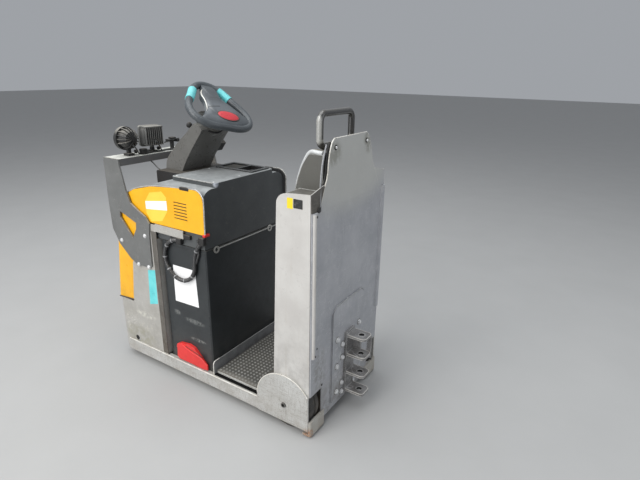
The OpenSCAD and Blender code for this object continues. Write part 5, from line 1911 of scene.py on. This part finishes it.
@dataclass
class Steering:
    """Column, switches and steering wheel."""

    lean: float = 38.0
    turn: float = -18.0
    boss: Pair = (724.3, 1314.1)
    column: Pair = (965.0, 1006.0)
    rim_mean: float = 146.0
    rim_bulge: float = 0.13
    rim_r: float = 17.0
    pad_centre: Pair = (-40.0, 0.0)
    pad_outline: tuple[Pair, ...] = (
        (140, 30), (120, 36), (95, 50), (67, 61), (40, 59), (12, 60), (-24, 67), (-56, 84), (-82, 109),
        (-98, 124), (-118, 104), (-132, 60), (-134, 0), (-130, -52), (-116, -98), (-92, -134), (-62, -136),
        (-36, -119), (-14, -103), (11, -83), (38, -61), (71, -41), (100, -39), (122, -39), (140, -30))
    pad_levels: tuple[Pair, ...] = ((0.985, -12.6), (1.0, -8), (1.0, 8), (0.99, 12), (0.95, 15.5),
                                    (0.86, 18.5), (0.7, 20.6), (0.45, 21.8), (0.15, 22.2))
    pad_worn: tuple[Triple, ...] = ((112, 38, 11), (95, 50, 13), (67, 61, 14), (40, 59.5, 14.5), (12, 60, 14),
                                    (-24, 67, 12), (-44, 77, 9))
    pad_seams: tuple[tuple[Triple, ...], ...] = (
        ((30, 60, 16), (45, 34, 19.5), (52, 8, 20.6), (58, -20, 20), (60, -44, 16)),
        ((-24, 64, 17), (-18, 40, 20.5), (-12, 16, 22), (-10, 0, 22.4)))
    button: Pair = (-72.0, -20.0)
    button_levels: tuple[Pair, ...] = ((1.0, 17), (1.0, 21.6), (0.94, 23.6), (0.7, 25), (0.3, 25.6))
    ring_levels: tuple[Pair, ...] = ((1.0, 16), (1.0, 22.3), (0.96, 23.2), (0.9, 23.0))
    tapes: tuple[tuple[str, float, float], ...] = (("left", 38, 76), ("right", 308, 336))

    def wheel(self, a: float, b: float, lift: float) -> Vector:
        """Returns a place on the steering wheel.

        Args:
            a: Distance from the boss towards the front corner, in the wheel's plane.
            b: Distance from it to the left.
            lift: Height above the plane.

        Returns:
            The point in metres.
        """
        turn, lean = math.radians(self.turn), math.radians(self.lean)
        x = a * math.cos(turn) - b * math.sin(turn)
        y = a * math.sin(turn) + b * math.cos(turn)
        return at(self.boss[0] + x * math.cos(lean) - lift * math.sin(lean), y,
                  self.boss[1] + x * math.sin(lean) + lift * math.cos(lean))

    def rim(self, degrees: float) -> Vector:
        """Returns a point of the rim's middle line.

        Args:
            degrees: Angle round the boss.

        Returns:
            The point in metres.
        """
        angle = math.radians(degrees)
        far = self.rim_mean * (1 + self.rim_bulge * math.cos(3 * angle))
        return self.wheel(far * math.cos(angle), far * math.sin(angle), 0.0)

    def dome(self, name: str, outline: Sequence[Pair], centre: Pair,
             levels: Sequence[Pair]) -> bpy.types.Object:
        """Makes a crowned cap over an outline.

        Args:
            name: Name of the piece.
            outline: Places in the wheel's plane, in order.
            centre: Place that the rings shrink to.
            levels: (share of the outline, lift) of each ring, from the foot to the crown.

        Returns:
            The cap, closed below.
        """
        fine = smooth_path([Vector((a, b, 0.0)) for a, b in outline], 3, True)
        work = bmesh.new()
        rings = [[work.verts.new(self.wheel(centre[0] + (p.x - centre[0]) * share,
                                            centre[1] + (p.y - centre[1]) * share, lift)) for p in fine]
                 for share, lift in levels]
        bridge(work, rings)
        work.faces.new(rings[0])
        work.faces.new(rings[-1])
        return finish_mesh(name, work, 50)

    def build(self) -> None:
        """Dresses the column and the wheel and adds the wheel's cap, the button and the switches."""
        dress(COLUMN_PAINT, "steering_column")
        dress(BLACK_PLASTIC, "switch_block")
        dress(WHEEL_RIM, "steering_rim", "steering_bridge")
        self.cap()
        self.switches()

    def cap(self) -> None:
        """Adds the wheel's cap with its button, and the tapes, the worn edge and the seams."""
        slot, body = "wheel_grey", Body.STEERING
        pad = self.dome("wheel_pad", self.pad_outline, self.pad_centre, self.pad_levels)
        mount(pad, WHEEL_RIM, slot, body)
        a0, b0 = self.button
        oval = arc(a0, b0, 31, range(0, 360, 15), 56)
        button = self.dome("horn_cap", oval, self.button, self.button_levels)
        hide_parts("horn_button")
        mount(button, BUTTON_RED, "red_plastic", body)
        outer = [(a + (a - a0) * 0.09, b + (b - b0) * 0.06) for a, b in oval]
        mount(self.dome("horn_ring", outer, self.button, self.ring_levels), BLACK_PLASTIC, slot, body)
        for name, low, high in self.tapes:
            path = [self.rim(low + (high - low) * i / 8) for i in range(9)]
            trim(f"wheel_tape_{name}", path, self.rim_r + 2.6, 24, TAPE, slot, body=body)
        trim("pad_worn_edge", [self.wheel(*p) for p in self.pad_worn], 3.4, 10, WORN_EDGE_AND_HIGHLIGHT, slot, 5, body,
             lambda share: math.sin(math.pi * (0.12 + 0.8 * share)))
        seams = [tube(f"seam_{i}", smooth_path([self.wheel(*p) for p in line], 4), 1.3, 6)
                 for i, line in enumerate(self.pad_seams)]
        mount(joined("pad_seams", seams), SEAL_RUBBER_AND_SHADE, slot, body)

    def along(self, distance: float, over: float, y: float) -> Vector:
        """Returns a place beside or on the column.

        Args:
            distance: Distance up the column's axis.
            over: Distance over it.
            y: Sideways place.

        Returns:
            The point in metres.
        """
        lean = math.radians(self.lean)
        return at(self.column[0] - distance * math.sin(lean) + over * math.cos(lean), y,
                  self.column[1] + distance * math.cos(lean) + over * math.sin(lean))

    def switches(self) -> None:
        """Adds the collar's ring, the stalk with its knob and the keys of the column."""
        lean = math.radians(self.lean)
        ring = turned("column_ring", [(59, 0), (66, 1), (69, 4), (69, 9), (66, 12), (59, 13)],
                      self.along(296, 0, 0), (-math.sin(lean), 0.0, math.cos(lean)), 48)
        mount(ring, BLACK_PLASTIC, "column_grey")
        stalk = [self.along(242, over, y) for over, y in ((20, 36), (42, 44), (54, 47))]
        trim("stalk", stalk, 4.5, 12, BLACK_PLASTIC, "column_grey", 4)
        knob = turned("stalk_knob", [(0, -12), (8, -11), (13, -5), (14, 3), (11, 10), (5, 13), (0, 13.5)],
                      self.along(242, 60, 48), (0.5, 0.5, 0.4), 20)
        mount(knob, BLACK_PLASTIC, "column_grey")
        keys = [box(f"key_{i}", (0, 0, 0), (14, 5, 9), 1.5) for i in range(3)]
        for i, key in enumerate(keys):
            key.data.transform(Matrix.Translation(self.along(186 - 16 * i, -30, -138.6) - at(0, 0, 0)))
        mount(joined("column_keys", keys), RED_PLASTIC, "red_plastic")


@dataclass
class Drive:
    """The drive unit and its wheel under the front."""

    x: float = 1050.0
    tyre: Triple = (115.0, 75.0, 90.0)
    steps: int = 56

    def build(self) -> None:
        """Dresses the drive unit and gives it its tyre."""
        dress(FRAME_PAINT, "drive_mount", "drive_unit")
        dress(HUB_METAL, "drive_axle", "drive_hub")
        Wheel("drive_tyre", self.x, 0, *self.tyre, Body.DRIVE_WHEEL, self.steps).build()


# Assembly


def main() -> None:
    """Builds the sub-assemblies in order and reports each piece."""
    logging.basicConfig(level=logging.INFO, format="%(name)s: %(message)s")
    Studio().build()
    for part in (Chassis(), Platform(), Tower(), Coupling(), BatteryBay(), Hood(), FrontEnd(), Lamps(),
                 Steering(), Drive()):
        LOG.info("building the %s", type(part).__name__)
        part.build()


if __name__ == "__main__":
    main()
